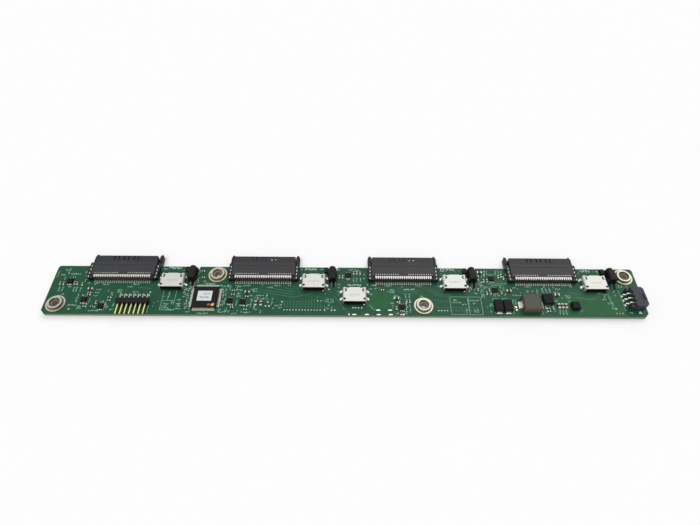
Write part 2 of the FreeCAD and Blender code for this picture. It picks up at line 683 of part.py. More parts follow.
def lens():
    """One light's lens: a short rod with a domed end, its y zero on the board's back edge."""
    radius = float(s.lensDiameter) / 2
    proud = float(s.lensProud)
    dome = (radius * radius + proud * proud) / (2 * proud)
    seat = -float(s.barrelBack + s.lensDepth)
    end = -float(s.barrelBack)
    axis = float(s.barrelAxis)
    along = FreeCAD.Vector(0, 1, 0)
    rod = Part.makeCylinder(radius, end + proud - seat, FreeCAD.Vector(0, seat, axis), along)
    ball = Part.makeSphere(dome, FreeCAD.Vector(0, end + proud - dome, axis))
    return rod.common(ball)


def lightLeads():
    """The soldered leads at a holder's front."""
    foot = s.leadSheet / 2
    path = [
        (-s.holderFront, s.leadRise), (-s.holderFront - s.leadReach / 3, s.leadRise),
        (-s.holderFront - s.leadReach / 3 * 2, foot), (-s.holderFront - s.leadReach, foot),
    ]
    lead = bentStrip(path, s.leadSheet, s.leadWidth)
    return [copyTo(lead, x, 0) for x in (s.leftLeadX, s.rightLeadX)]


def powerHousing():
    """The shrouded housing of the power header, open to the right."""
    body = newBody("power_housing")
    half = s.powerWidth / 2
    depth = s.powerDepth
    high = s.powerHeight
    corner = s.powerCorner
    plan = [
        (-depth, -half), (-corner, -half), (dim(0), -half + corner),
        (dim(0), half - corner), (-corner, half), (-depth, half),
    ]
    pad(body, "Shroud", polygons(body, "Plan", "XY_Plane", 0, [plan]), high)
    cheeks = []
    for sign in (-1, 1):
        ends = (half * sign, (half - s.cheekWidth) * sign)
        low, top = (ends[1], ends[0]) if sign > 0 else ends
        cheeks.append(rectangle(-depth - s.cheekLength, -depth, low, top))
    pad(body, "Cheeks", polygons(body, "CheekPlan", "XY_Plane", 0, cheeks), s.cheekHeight)
    cavity = rectangle(-s.cavityWidth / 2, s.cavityWidth / 2, s.cavityFloor,
                       s.cavityFloor + s.cavityHeight)
    pocket(body, "Cavity", polygons(body, "Mouth", "YZ_Plane", 0, [cavity]), s.cavityDepth)
    latch = rectangle(-s.latchLength, dim(0), -s.latchWidth / 2, s.latchWidth / 2)
    pad(body, "Latch", polygons(body, "LatchPlan", "XY_Plane", high, [latch]), s.latchHeight)
    dress(body, "Chamfer", "LatchRamp", s.latchHeight - s.stepDepth, lambda edge:
          lies(edge, x=0, z=high + s.latchHeight))
    notches = []
    pins = []
    for step in (-1, 0, 1):
        y = s.powerPitch * step
        notches.append(rectangle(-depth, -depth + s.notchLength, y - s.notchWidth / 2,
                                 y + s.notchWidth / 2))
        pins.append(rectangle(y - s.powerPin / 2, y + s.powerPin / 2,
                              s.pinAxis - s.powerPin / 2, s.pinAxis + s.powerPin / 2))
    pocket(body, "TailNotches", polygons(body, "NotchPlan", "XY_Plane", high, notches),
           high - s.pinAxis + s.powerPin / 2)
    pocket(body, "PinHoles", polygons(body, "PinFace", "YZ_Plane", -s.cavityDepth, pins),
           depth - s.cavityDepth)
    place(body, powerRight, powerMiddle, boardTop)
    return body


def powerPins():
    """The three power pins, each stepped down behind the housing and through the board."""
    bend = s.powerDepth + s.tailOut
    path = [
        (s.pinTip, s.pinAxis), (bend, s.pinAxis), (bend, s.tailJog),
        (bend + s.tailStep, s.tailJog), (bend + s.tailStep, -s.boardThickness - s.pinDrop),
    ]
    pin = bentStrip(path, s.powerPin, s.powerPin)
    return [copyTo(pin, powerRight, powerMiddle + s.powerPitch * n, boardTop, 90)
            for n in (-1, 0, 1)]


def headerStrip():
    """The moulded strip that carries the header's pins, grooved between them."""
    body = newBody("header_strip")
    half = s.headerPitch * s.headerPins / 2
    deep = s.headerDepth
    groove = s.headerGroove
    front = [(-half + groove, dim(0)), (half - groove, dim(0)), (half, groove)]
    back = [(half, deep - groove), (half - groove, deep)]
    for step in reversed(headerSteps[1:]):
        x = s.headerPitch * (step - 0.5)
        back += [(x + groove, deep), (x, deep - groove), (x - groove, deep)]
    back += [(-half + groove, deep), (-half, deep - groove), (-half, groove)]
    plan = polygons(body, "Plan", "XY_Plane", 0, [front + back])
    pad(body, "Strip", plan, s.headerHeight)
    pins = []
    for step in headerSteps:
        x = s.headerPitch * step
        pins.append(rectangle(x - s.headerPin / 2, x + s.headerPin / 2,
                              s.headerAxis - s.headerPin / 2, s.headerAxis + s.headerPin / 2))
    pocket(body, "PinHoles", polygons(body, "PinFace", "XZ_Plane", 0, pins), deep)
    place(body, s.headerX, s.headerFront + frontEdge, boardTop)
    return body


def headerPins():
    """The bent pins of the header."""
    path = [
        (-s.headerReach, s.headerAxis), (s.headerDepth + s.headerTail, s.headerAxis),
        (s.headerDepth + s.headerTail, -s.boardThickness - s.pinDrop),
    ]
    pin = bentStrip(path, s.headerPin, s.headerPin)
    return [copyTo(pin, s.headerX + s.headerPitch * step, s.headerFront + frontEdge, boardTop)
            for step in headerSteps]


def chamferedBlock(name, x, y, width, length, bottom, top, bevel):
    """A moulded body with bevelled top edges."""
    body = newBody(name)
    plan = rectangle(-width / 2, width / 2, -length / 2, length / 2)
    pad(body, "Moulding", polygons(body, "Plan", "XY_Plane", bottom, [plan]), top - bottom)
    dress(body, "Chamfer", "TopEdges", bevel, lambda edge: lies(edge, z=top))
    place(body, x, y + frontEdge, boardTop)
    return body


def gullWings(x, y, halfWidth, pitch, count, sides, lead):
    """Copies of one lead along the named sides of a body, given as turns about Z."""
    solids = []
    for turn in sides:
        for n in range(count):
            shift = float(pitch) * (n - (count - 1) / 2)
            copy = copyTo(lead, shift, -float(halfWidth))
            solids.append(copyTo(copy, x, y + frontEdge, boardTop, turn))
    return solids


def controllerLeads():
    """The hundred gull-wing leads of the controller."""
    foot = s.gullSheet / 2
    path = [(-foot, s.gullRise), (-(s.gullReach - s.gullFoot), foot), (-s.gullReach, foot)]
    lead = bentStrip(path, s.gullSheet, s.gullWidth)
    return gullWings(s.controllerX, controllerY, s.controllerSide / 2, s.gullPitch,
                     int(s.gullCount.number), (0, 90, 180, 270), lead)


def coilPads():
    """The folded terminals on the two ends of the power inductor."""
    half = s.coilSide / 2
    path = [(half + s.coilPadSheet / 2, s.coilPadHeight),
            (half + s.coilPadSheet / 2, s.coilPadSheet / 2),
            (half + s.coilPad, s.coilPadSheet / 2)]
    terminal = bentStrip(path, s.coilPadSheet, s.coilPadWidth)
    return [copyTo(terminal, s.coilX, s.coilY + frontEdge, boardTop, turn) for turn in (90, 270)]


def diodeTabs():
    """The formed end terminals of the two diodes."""
    half = s.diodeLength / 2
    sheetIn = s.diodeTabSheet
    path = [(half + sheetIn / 2, s.diodeHeight / 2), (half + sheetIn / 2, sheetIn / 2),
            (half + s.diodeTab, sheetIn / 2)]
    tab = bentStrip(path, sheetIn, s.diodeTabWidth)
    return [copyTo(tab, s.diodeX + s.diodeStep * n, s.diodeY + frontEdge, boardTop, turn)
            for n in (0, 1) for turn in (0, 180)]


def lowLead(reach):
    """A short lead of a small outline package."""
    half = s.chipLeadSheet / 2
    path = [(dim(0), half), (-reach, half)]
    return bentStrip(path, s.chipLeadSheet, s.chipLeadWidth)


# small packages: x from the first hole, y from the front edge
chips = [(3.2, 21.9), (14.8, 9.4), (25.5, 5.1), (97.1, 9.2), (104.4, 8.5),
         (164.2, 27.2), (194.6, 5.5), (248.0, 25.4), (249.0, 17.3)]
# two-ended parts that lie along the board, and across it
smallAlong = [(16.6, 14.0), (16.6, 12.6), (28.9, 10.8), (28.9, 8.9), (16.5, 6.4), (16.5, 4.7),
              (78.8, 29.6), (79.6, 25.0), (98.4, 16.0), (98.4, 13.3), (98.4, 6.2), (98.9, 4.7),
              (106.5, 12.0), (106.6, 5.6), (106.5, 3.4), (184.0, 17.0), (192.8, 8.8),
              (277.2, 5.2), (277.2, 3.4)]
smallAcross = [(-2.1, 20.3), (-0.1, 20.3), (6.2, 20.6), (7.8, 20.4), (10.8, 20.0), (22.3, 7.6),
               (159.0, 26.3), (160.9, 26.3), (167.4, 29.0), (169.2, 29.0), (171.2, 28.8),
               (197.4, 9.6), (199.2, 9.6), (191.5, 5.0), (243.4, 24.2), (245.5, 24.2),
               (252.4, 27.0), (254.0, 27.6), (255.3, 26.0), (244.0, 15.3), (246.1, 15.3),
               (252.5, 16.0)]
largeAlong = [(16.6, 16.5), (106.4, 15.0), (191.8, 11.3), (241.6, 29.6), (256.8, 16.8),
              (284.0, 14.3)]
largeAcross = [(112.0, 7.4), (115.0, 7.4), (283.5, 6.8), (285.5, 6.8), (287.5, 6.8)]


def twoEnded(places, turn, length, width, height, cap):
    """Bodies and end caps of parts that lie at the given places."""
    middle = block(-length / 2 + cap, length / 2 - cap, -width / 2, width / 2, dim(0), height)
    end = block(length / 2 - cap, length / 2, -width / 2, width / 2, dim(0), height)
    bodies = []
    caps = []
    for x, y in places:
        spot = (x, dim(y) + frontEdge, boardTop)
        bodies.append(copyTo(middle, *spot, turn))
        caps.append(copyTo(end, *spot, turn))
        caps.append(copyTo(end, *spot, turn + 180))
    return bodies, caps


def smallParts():
    """The two-ended parts of both sizes, as bodies and as end caps."""
    small = (s.smallLength, s.smallWidth, s.smallHeight, s.smallCap)
    large = (s.largeLength, s.largeWidth, s.largeHeight, s.largeCap)
    rows = [(smallAlong, 0, small), (smallAcross, 90, small),
            (largeAlong, 0, large), (largeAcross, 90, large)]
    bodies = []
    caps = []
    for places, turn, measures in rows:
        someBodies, someCaps = twoEnded(places, turn, *measures)
        bodies += someBodies
        caps += someCaps
    return [group("passive_bodies", bodies), group("passive_end_caps", caps)]


nodes = [board()]
for number, (x, y) in enumerate(holes, start=1):
    nodes.append(spacer("mounting_spacer_%d" % number, x, y))
for number in range(4):
    nodes += [driveHousing(number), driveContacts(number), holdDowns(number)]
for number, (x, front) in enumerate(cables, start=1):
    nodes.append(cableShell(number, x, front))
    nodes.append(cableInsert(number, x, front))
    nodes.append(cableContacts(number, x, front))
for number in range(4):
    nodes.append(lightHolder(number))
lensPlaces = [(driveX(n) + s.lightOffset, backEdge, boardTop) for n in range(4)]
nodes.append(group("light_lenses", [copyTo(lens(), *spot) for spot in lensPlaces]))
nodes.append(group("light_leads",
                   [copyTo(lead, *spot) for spot in lensPlaces for lead in lightLeads()]))
nodes += [powerHousing(), group("power_pins", powerPins())]
nodes += [headerStrip(), group("header_pins", headerPins())]
nodes.append(chamferedBlock("controller_body", s.controllerX, controllerY, s.controllerSide,
                            s.controllerSide, s.controllerGap,
                            s.controllerGap + s.controllerHeight, s.controllerChamfer))
nodes.append(group("controller_leads", controllerLeads()))
nodes.append(chamferedBlock("inductor_core", s.coilX, s.coilY, s.coilSide, s.coilSide, dim(0),
                            s.coilHeight, s.coilTop))
nodes.append(group("inductor_terminals", coilPads()))
nodes.append(chamferedBlock("filter_choke", s.chokeX, s.chokeY, s.chokeWidth, s.chokeLength,
                            dim(0), s.chokeHeight, s.controllerChamfer))
for n in (0, 1):
    nodes.append(chamferedBlock("diode_body_%d" % (n + 1), s.diodeX + s.diodeStep * n, s.diodeY,
                                s.diodeWidth, s.diodeLength, dim(0), s.diodeHeight,
                                s.controllerChamfer))
nodes.append(group("diode_terminals", diodeTabs()))
nodes.append(chamferedBlock("converter_chip", s.converterX, s.converterY, s.converterWidth,
                            s.converterLength, dim(0), s.converterHeight, s.chipBevel))
nodes.append(group("converter_leads", gullWings(
    s.converterX, s.converterY, s.converterLength / 2, s.converterPitch, 4, (0, 180),
    lowLead(s.chipLead))))
chipBlock = block(-s.chipSide / 2, s.chipSide / 2, -s.chipSide / 2, s.chipSide / 2, dim(0),
                  s.chipHeight)
nodes.append(group("small_chips",
                   [copyTo(chipBlock, x, dim(y) + frontEdge, boardTop) for x, y in chips]))
chipLeads = []
for x, y in chips:
    chipLeads += gullWings(x, dim(y), s.chipSide / 2, s.chipLeadPitch, 3, (0, 180),
                           lowLead(s.chipLead))
nodes.append(group("small_chip_leads", chipLeads))
nodes += smallParts()

doc.recompute()
for item in doc.Objects:
    if "Invalid" in item.State or "Error" in item.State:
        raise RuntimeError("%s failed: %s" % (item.Label, item.State))
for node in nodes:
    if node.Shape.isNull() or not node.Shape.isValid():
        raise RuntimeError("%s has no valid shape" % node.Label)

os.makedirs("parts", exist_ok=True)
for node in nodes:
    node.Shape.exportStep("parts/%s.step" % node.Label)
    print(node.Label, len(node.Shape.Solids), "solids, %.2f mm3" % node.Shape.Volume)
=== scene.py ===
import math

import bpy
from mathutils import Matrix, Vector


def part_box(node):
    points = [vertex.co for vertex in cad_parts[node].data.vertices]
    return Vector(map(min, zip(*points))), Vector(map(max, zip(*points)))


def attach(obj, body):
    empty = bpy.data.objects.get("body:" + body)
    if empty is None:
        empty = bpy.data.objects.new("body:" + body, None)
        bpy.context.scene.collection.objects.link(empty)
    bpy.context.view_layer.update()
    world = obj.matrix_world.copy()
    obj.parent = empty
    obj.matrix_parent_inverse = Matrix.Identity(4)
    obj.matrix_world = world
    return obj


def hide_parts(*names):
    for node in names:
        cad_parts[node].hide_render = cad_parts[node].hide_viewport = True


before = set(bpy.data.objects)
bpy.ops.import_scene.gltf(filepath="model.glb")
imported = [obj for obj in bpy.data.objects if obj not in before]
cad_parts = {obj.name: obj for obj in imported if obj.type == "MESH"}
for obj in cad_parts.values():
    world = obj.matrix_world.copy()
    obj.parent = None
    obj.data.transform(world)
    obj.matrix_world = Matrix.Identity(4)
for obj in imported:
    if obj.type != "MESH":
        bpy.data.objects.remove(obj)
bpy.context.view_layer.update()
print("frame loaded")

mm = 0.001
boardLow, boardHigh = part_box("circuit_board")
middleX = (boardLow[0] + boardHigh[0]) / 2
frontY = boardLow[1]
topZ = boardHigh[2]
lowZ = boardLow[2]
laminate = (topZ - lowZ) / mm
weldReach = 0.000002


def spot(x, y, z=0.0):
    # millimetres from the board's middle, its front edge and its top face
    return (middleX + x * mm, frontY + y * mm, topZ + z * mm)


# small helpers

def deselectAll():
    if bpy.context.object and bpy.context.object.mode != "OBJECT":
        bpy.ops.object.mode_set(mode="OBJECT")
    bpy.ops.object.select_all(action="DESELECT")


def makeActive(piece):
    deselectAll()
    piece.select_set(True)
    bpy.context.view_layer.objects.active = piece


def applyModifier(piece, kind, **settings):
    makeActive(piece)
    modifier = piece.modifiers.new(kind.lower(), kind)
    for key, value in settings.items():
        setattr(modifier, key, value)
    bpy.ops.object.modifier_apply(modifier=modifier.name)


def editAll(piece):
    # edit mode with everything selected
    makeActive(piece)
    bpy.ops.object.mode_set(mode="EDIT")
    bpy.ops.mesh.select_all(action="SELECT")


def endEdit():
    bpy.ops.object.mode_set(mode="OBJECT")


def smooth(piece, degrees=35):
    makeActive(piece)
    bpy.ops.object.shade_smooth_by_angle(angle=math.radians(degrees))


def dress(piece, material):
    piece.data.materials.clear()
    piece.data.materials.append(material)


def finishPiece(piece, name, material):
    piece.name = name
    piece.data.name = name
    dress(piece, material)
    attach(piece, "root")
    return piece


def ownCopy(source, name):
    # a copy with a mesh of its own and no parent
    piece = source.copy()
    piece.data = source.data.copy()
    piece.parent = None
    piece.name = name
    bpy.context.scene.collection.objects.link(piece)
    piece.hide_render = False
    piece.hide_viewport = False
    piece.hide_set(False)
    return piece


def islandsOf(node):
    # the low and high corners of each loose part of a CAD node
    piece = ownCopy(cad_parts[node], "loose_parts")
    editAll(piece)
    bpy.ops.mesh.remove_doubles(threshold=weldReach)
    bpy.ops.mesh.separate(type="LOOSE")
    endEdit()
    corners = []
    for part in list(bpy.context.selected_objects):
        places = [part.matrix_world @ vertex.co for vertex in part.data.vertices]
        low = Vector([min(place[n] for place in places) for n in range(3)])
        high = Vector([max(place[n] for place in places) for n in range(3)])
        corners.append((low, high))
        bpy.data.objects.remove(part)
    deselectAll()
    return corners


# finishes

finishLook = {
    "bumpReach": 0.00002,
    "bumpDetail": 3,
    "fleckDetail": 4,
    "fleckRange": (0.35, 0.65),
    "coatRoughness": 0.15,
    "wallRange": (0.25, 0.75),
}


def setSockets(node, values):
    for name, value in values.items():
        node.inputs[name].default_value = value


def newNode(tree, kind, values=None, operation=None):
    # a shader node with constants set on its sockets
    node = tree.nodes.new("ShaderNode" + kind)
    if operation:
        node.operation = operation
    setSockets(node, values or {})
    return node


def noiseOn(tree, scale, detail):
    # noise on object coordinates
    place = newNode(tree, "TexCoord")
    noise = newNode(tree, "TexNoise", {"Scale": scale, "Detail": detail})
    tree.links.new(place.outputs["Object"], noise.inputs["Vector"])
    return noise.outputs["Fac"]


def newFinish(name, colour, rough=0.5, metal=0.0, fleck=0.0, fleckScale=900.0,
              bump=0.0, bumpScale=4000.0, coat=0.0, gloss=0.5):
    # a shader with a faint fleck in its colour and a fine grain, both on object coordinates
    material = bpy.data.materials.new(name)
    material.use_nodes = True
    tree = material.node_tree
    shader = tree.nodes["Principled BSDF"]
    setSockets(shader, {"Base Color": (*colour, 1), "Roughness": rough, "Metallic": metal,
                        "Specular IOR Level": gloss, "Coat Weight": coat,
                        "Coat Roughness": finishLook["coatRoughness"]})
    if fleck:
        ramp = newNode(tree, "ValToRGB")
        dark = [c * (1 - fleck) for c in colour]
        light = [min(1, c * (1 + fleck)) for c in colour]
        stops = zip(ramp.color_ramp.elements, finishLook["fleckRange"], (dark, light))
        for stop, share, shade in stops:
            stop.position = share
            stop.color = (*shade, 1)
        tree.links.new(noiseOn(tree, fleckScale, finishLook["fleckDetail"]), ramp.inputs["Fac"])
        tree.links.new(ramp.outputs["Color"], shader.inputs["Base Color"])
    if bump:
        relief = newNode(tree, "Bump", {"Strength": bump, "Distance": finishLook["bumpReach"]})
        tree.links.new(noiseOn(tree, bumpScale, finishLook["bumpDetail"]), relief.inputs["Height"])
        tree.links.new(relief.outputs["Normal"], shader.inputs["Normal"])
    return material


def mixedFinish(material, factor, colour=(0, 0, 0)):
    # lays a second colour over the first where the factor is 1, and gives its socket
    tree = material.node_tree
    shader = tree.nodes["Principled BSDF"]
    first = shader.inputs["Base Color"].links[0].from_socket
    mix = newNode(tree, "Mix")
    mix.data_type = "RGBA"
    mix.inputs["B"].default_value = (*colour, 1)
    tree.links.new(factor, mix.inputs["Factor"])
    tree.links.new(first, mix.inputs["A"])
    tree.links.new(mix.outputs["Result"], shader.inputs["Base Color"])
    return mix.inputs["B"]


def axesOf(tree, kind, output):
    # the three parts of a place or a normal
    source = newNode(tree, kind)
    parts = newNode(tree, "SeparateXYZ")
    tree.links.new(source.outputs[output], parts.inputs["Vector"])
    return parts.outputs


def levelness(tree):
    # 1 on faces that look up or down, 0 on upright ones
    size = newNode(tree, "Math", operation="ABSOLUTE")
    tree.links.new(axesOf(tree, "NewGeometry", "Normal")["Z"], size.inputs[0])
    return size.outputs["Value"]


edgeLook = {
    "low": (0.135, 0.125, 0.085),
    "middle": (0.20, 0.25, 0.13),
    "high": (0.23, 0.33, 0.17),
    "middles": (0.36, 0.64),
    "upright": 0.5,
}


def newBoardFinish(name, mask):
    # green mask on the two faces, bare laminate with its layers on the cut edges
    material = newFinish(name, mask, rough=0.38, fleck=0.10, fleckScale=260.0, bump=0.3,
                         bumpScale=1500.0, gloss=0.2)
    tree = material.node_tree
    side = newNode(tree, "Math", {1: edgeLook["upright"]}, "LESS_THAN")
    tree.links.new(levelness(tree), side.inputs[0])
    reach = newNode(tree, "MapRange", {"From Min": lowZ, "From Max": topZ})
    tree.links.new(axesOf(tree, "TexCoord", "Object")["Z"], reach.inputs["Value"])
    layers = newNode(tree, "ValToRGB")
    ramp = layers.color_ramp
    ramp.elements[0].color = (*edgeLook["low"], 1)
    ramp.elements[1].color = (*edgeLook["high"], 1)
    for share in edgeLook["middles"]:
        thread = ramp.elements.new(share)
        thread.color = (*edgeLook["middle"], 1)
    tree.links.new(reach.outputs["Result"], layers.inputs["Fac"])
    tree.links.new(layers.outputs["Color"], mixedFinish(material, side.outputs["Value"]))
    return material


def zone(material, colour, axis, limit, beyond=True):
    # a second colour past, or short of, a place along one axis
    tree = material.node_tree
    test = newNode(tree, "Math", {1: limit}, "GREATER_THAN" if beyond else "LESS_THAN")
    tree.links.new(axesOf(tree, "TexCoord", "Object")[axis], test.inputs[0])
    mixedFinish(material, test.outputs["Value"], colour)


def shadeWalls(material, colour):
    # painted shade and painted reflection: a second colour on upright walls, where turned metal
    # mirrors the board
    tree = material.node_tree
    low, high = finishLook["wallRange"]
    reach = newNode(tree, "MapRange", {"From Min": low, "From Max": high, "To Min": 1.0,
                                       "To Max": 0.0})
    tree.links.new(levelness(tree), reach.inputs["Value"])
    mixedFinish(material, reach.outputs["Result"], colour)


zoneLook = {"guard": 1.2, "nose": 5.3, "recessShade": 0.2, "shellFootShade": 0.5}
stripLow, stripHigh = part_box("header_strip")
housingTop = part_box("drive_housing_1")[1][2]
greenBoard = newBoardFinish("green_mask_board", (0.0095, 0.078, 0.036))
greenCopper = newFinish("mask_over_copper", (0.014, 0.100, 0.035), rough=0.38, fleck=0.08,
                        fleckScale=300.0, gloss=0.2)
greenTrace = newFinish("mask_over_trace", (0.062, 0.195, 0.112), rough=0.38, fleck=0.05,
                       gloss=0.2)
mintPrint = newFinish("mint_print", (0.32, 0.56, 0.44), rough=0.6, fleck=0.12,
                      fleckScale=5000.0, gloss=0.2)
palePrint = newFinish("pale_print", (0.62, 0.76, 0.68), rough=0.6, fleck=0.1, gloss=0.2)
tin = newFinish("tin_plate", (0.66, 0.65, 0.57), rough=0.34, metal=0.75, fleck=0.12,
                fleckScale=2500.0, bump=0.3, bumpScale=3000.0)
dullTin = newFinish("dull_tin", (0.25, 0.25, 0.24), rough=0.42, metal=0.5, fleck=0.12,
                    fleckScale=2500.0)
tailTin = newFinish("tail_tin", (0.70, 0.69, 0.62), rough=0.4, metal=0.35, fleck=0.05)
dashTin = newFinish("dash_tin", (0.50, 0.50, 0.47), rough=0.45, metal=0.4, fleck=0.1)
solder = newFinish("solder", (0.80, 0.80, 0.77), rough=0.25, metal=0.7, fleck=0.06,
                   fleckScale=3000.0)
shieldSteel = newFinish("plated_shield", (0.60, 0.61, 0.565), rough=0.45, metal=0.5,
                        fleck=0.03, bump=0.12, bumpScale=2500.0)
spacerMetal = newFinish("turned_nickel", (0.50, 0.47, 0.36), rough=0.34, metal=0.75,
                        fleck=0.10, fleckScale=1200.0, bump=0.2, bumpScale=5000.0)
darkGold = newFinish("bare_gold_pad", (0.42, 0.30, 0.10), rough=0.4, metal=0.4, fleck=0.15)
pinPlate = newFinish("pin_plate", (0.86, 0.80, 0.29), rough=0.34, metal=0.35, fleck=0.06)
zone(pinPlate, (0.42, 0.43, 0.40), "Y", (stripLow[1] + stripHigh[1]) / 2)
# painted shade on the pins' upright sides, so only their tops read bright
shadeWalls(pinPlate, (0.24, 0.20, 0.07))
charcoal = newFinish("charcoal_moulding", (0.031, 0.032, 0.036), rough=0.45, fleck=0.16,
                     fleckScale=1500.0, bump=0.45, bumpScale=6000.0, gloss=0.3)
# the drive housing's moulding is darker from 1.2 mm beyond the board's back edge and darker still
# from 5.3 mm beyond it; painted shade: near black on every face more than 0.2 mm below the
# housing's top, in its slits, windows, step and walls
zone(charcoal, (0.021, 0.022, 0.026), "Y", boardHigh[1] + zoneLook["guard"] * mm)
zone(charcoal, (0.006, 0.006, 0.008), "Y", boardHigh[1] + zoneLook["nose"] * mm)
zone(charcoal, (0.006, 0.006, 0.007), "Z", housingTop - zoneLook["recessShade"] * mm, beyond=False)
black = newFinish("black_moulding", (0.006, 0.006, 0.007), rough=0.45, fleck=0.2,
                  fleckScale=1800.0, bump=0.4, bumpScale=5000.0, gloss=0.18)
blueBlack = newFinish("power_moulding", (0.030, 0.033, 0.044), rough=0.45, fleck=0.15,
                      fleckScale=1500.0, bump=0.4, bumpScale=5000.0, gloss=0.3)
chipBlack = newFinish("chip_moulding", (0.006, 0.0065, 0.007), rough=0.5, fleck=0.25,
                      fleckScale=4000.0, bump=0.5, bumpScale=9000.0, gloss=0.14)
ferrite = newFinish("pressed_core", (0.082, 0.074, 0.056), rough=0.55, fleck=0.2,
                    fleckScale=3500.0, bump=0.6, bumpScale=6000.0, gloss=0.3)
brownCeramic = newFinish("fired_brown", (0.050, 0.036, 0.025), rough=0.45, fleck=0.2,
                         fleckScale=4000.0, gloss=0.3)
# painted shade: the shield steel is near black below 0.5 mm over the board, on the shell's lower
# lip
zone(shieldSteel, (0.055, 0.056, 0.054), "Z", topZ + zoneLook["shellFootShade"] * mm, beyond=False)
# painted reflection: a paler metal for a thin tube over each bore's wall, which the painted wall
# shade would leave dark
boreReflection = newFinish("painted_bore_reflection", (0.27, 0.27, 0.25), rough=0.5, metal=0.3, fleck=0.06)
oliveShade = newFinish("olive_shade", (0.12, 0.115, 0.075), rough=0.5, metal=0.3, fleck=0.15)
# painted shade and painted reflection on the spacers' upright walls
shadeWalls(spacerMetal, (0.068, 0.064, 0.040))
lensClear = newFinish("milky_lens", (0.52, 0.57, 0.53), rough=0.2, coat=0.4, fleck=0.04)
shellPrint = newFinish("faint_print", (0.40, 0.39, 0.33), rough=0.5, fleck=0.05)
leadDim = newFinish("dim_lead", (0.11, 0.11, 0.105), rough=0.45, metal=0.4, fleck=0.1)
labelWhite = newFinish("label_white", (0.74, 0.76, 0.77), rough=0.55, fleck=0.03, gloss=0.2)
labelGrey = newFinish("label_grey", (0.17, 0.18, 0.18), rough=0.6, fleck=0.05, gloss=0.2)
markRed = newFinish("paint_red", (0.46, 0.05, 0.04), rough=0.45, fleck=0.05)
markYellow = newFinish("paint_yellow", (0.62, 0.56, 0.04), rough=0.45, fleck=0.05)
print("finishes made")

# the CAD pieces, each in its finish, those given a width with their edges eased

pieceLooks = {
    "circuit_board": (greenBoard, 0.0),
    "mounting_spacer": (spacerMetal, 0.08),
    "drive_housing": (charcoal, 0.08),
    "drive_contacts": (tin, 0.0),
    "drive_hold_downs": (dashTin, 0.05),
    "cable_shell": (shieldSteel, 0.05),
    "cable_insert": (black, 0.03),
    "cable_contacts": (tin, 0.0),
    "light_holder": (black, 0.06),
    "light_lenses": (lensClear, 0.0),
    "light_leads": (leadDim, 0.0),
    "power_housing": (blueBlack, 0.10),
    "power_pins": (tin, 0.0),
    "header_strip": (black, 0.08),
    "header_pins": (pinPlate, 0.04),
    "controller_body": (chipBlack, 0.04),
    "controller_leads": (tin, 0.0),
    "inductor_core": (ferrite, 0.20),
    "inductor_terminals": (tin, 0.03),
    "filter_choke": (chipBlack, 0.15),
    "diode_body": (chipBlack, 0.06),
    "diode_terminals": (leadDim, 0.0),
    "converter_chip": (chipBlack, 0.04),
    "converter_leads": (dullTin, 0.0),
    "small_chips": (chipBlack, 0.03),
    "small_chip_leads": (dullTin, 0.0),
    "passive_bodies": (brownCeramic, 0.02),
    "passive_end_caps": (tin, 0.03),
}


def looksOf(node):
    best = max((key for key in pieceLooks if node.startswith(key)), key=len)
    return pieceLooks[best]


easeLook = {"flatWithin": 1, "edgesOver": 40, "segments": 2, "weight": 100}


def easedCopy(node, source, material, width):
    # a merged copy of a CAD node with small rounded edges, which stands for it
    piece = ownCopy(source, node + "_eased")
    editAll(piece)
    bpy.ops.mesh.remove_doubles(threshold=weldReach)
    bpy.ops.mesh.dissolve_limited(angle_limit=math.radians(easeLook["flatWithin"]))
    endEdit()
    applyModifier(piece, "BEVEL", width=width * mm, segments=easeLook["segments"],
                  limit_method="ANGLE", angle_limit=math.radians(easeLook["edgesOver"]))
    smooth(piece)
    applyModifier(piece, "WEIGHTED_NORMAL", keep_sharp=True, weight=easeLook["weight"])
    finishPiece(piece, node + "_eased", material)
    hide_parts(node)


for node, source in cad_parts.items():
    material, width = looksOf(node)
    if width:
        easedCopy(node, source, material, width)
    else:
        dress(source, material)
print("CAD pieces dressed")

# stamps: one shape modelled once, then copied over the board

stampLook = {
    "discSides": 14,
    "domeSides": 12, "domeRings": 8,
    "coneSides": 12, "coneTip": 0.2,
    "wedgeCut": 0.85, "wedgeSteps": 3, "wedgeHollow": 0.25,
}


def newStamp(kind):
    # a shape one millimetre long, wide and high that stands on its own origin
    deselectAll()
    if kind == "cube":
        bpy.ops.mesh.primitive_cube_add(size=mm)
    elif kind == "disc":
        bpy.ops.mesh.primitive_cylinder_add(vertices=stampLook["discSides"], radius=mm / 2,
                                            depth=mm)
    elif kind == "dome":
        bpy.ops.mesh.primitive_uv_sphere_add(segments=stampLook["domeSides"],
                                             ring_count=stampLook["domeRings"], radius=mm)
    elif kind == "cone":
        bpy.ops.mesh.primitive_cone_add(vertices=stampLook["coneSides"], radius1=mm / 2,
                                        radius2=mm * stampLook["coneTip"], depth=mm)
    stamp = bpy.context.object
    editAll(stamp)
    if kind == "dome":
        bpy.ops.mesh.bisect(plane_co=(0, 0, 0), plane_no=(0, 0, 1), use_fill=True,
                            clear_inner=True)
        bpy.ops.mesh.select_all(action="SELECT")
        bpy.ops.transform.resize(value=(0.5, 0.5, 1))
    else:
        bpy.ops.transform.translate(value=(0, 0, mm / 2))
    endEdit()
    return stamp


def newWedge():
    # a solder fillet: full height against the part, thin at its toe
    stamp = newStamp("cube")
    makeActive(stamp)
    bpy.ops.object.mode_set(mode="EDIT")
    bpy.ops.mesh.select_all(action="DESELECT")
    bpy.ops.object.mode_set(mode="OBJECT")
    for edge in stamp.data.edges:
        ends = [stamp.data.vertices[n].co for n in edge.vertices]
        edge.select = all(end.x > 0 and end.z > mm / 2 for end in ends)
    bpy.ops.object.mode_set(mode="EDIT")
    bpy.ops.mesh.select_mode(type="EDGE")
    bpy.ops.mesh.bevel(offset=mm * stampLook["wedgeCut"], segments=stampLook["wedgeSteps"],
                       profile=stampLook["wedgeHollow"])
    endEdit()
    return stamp


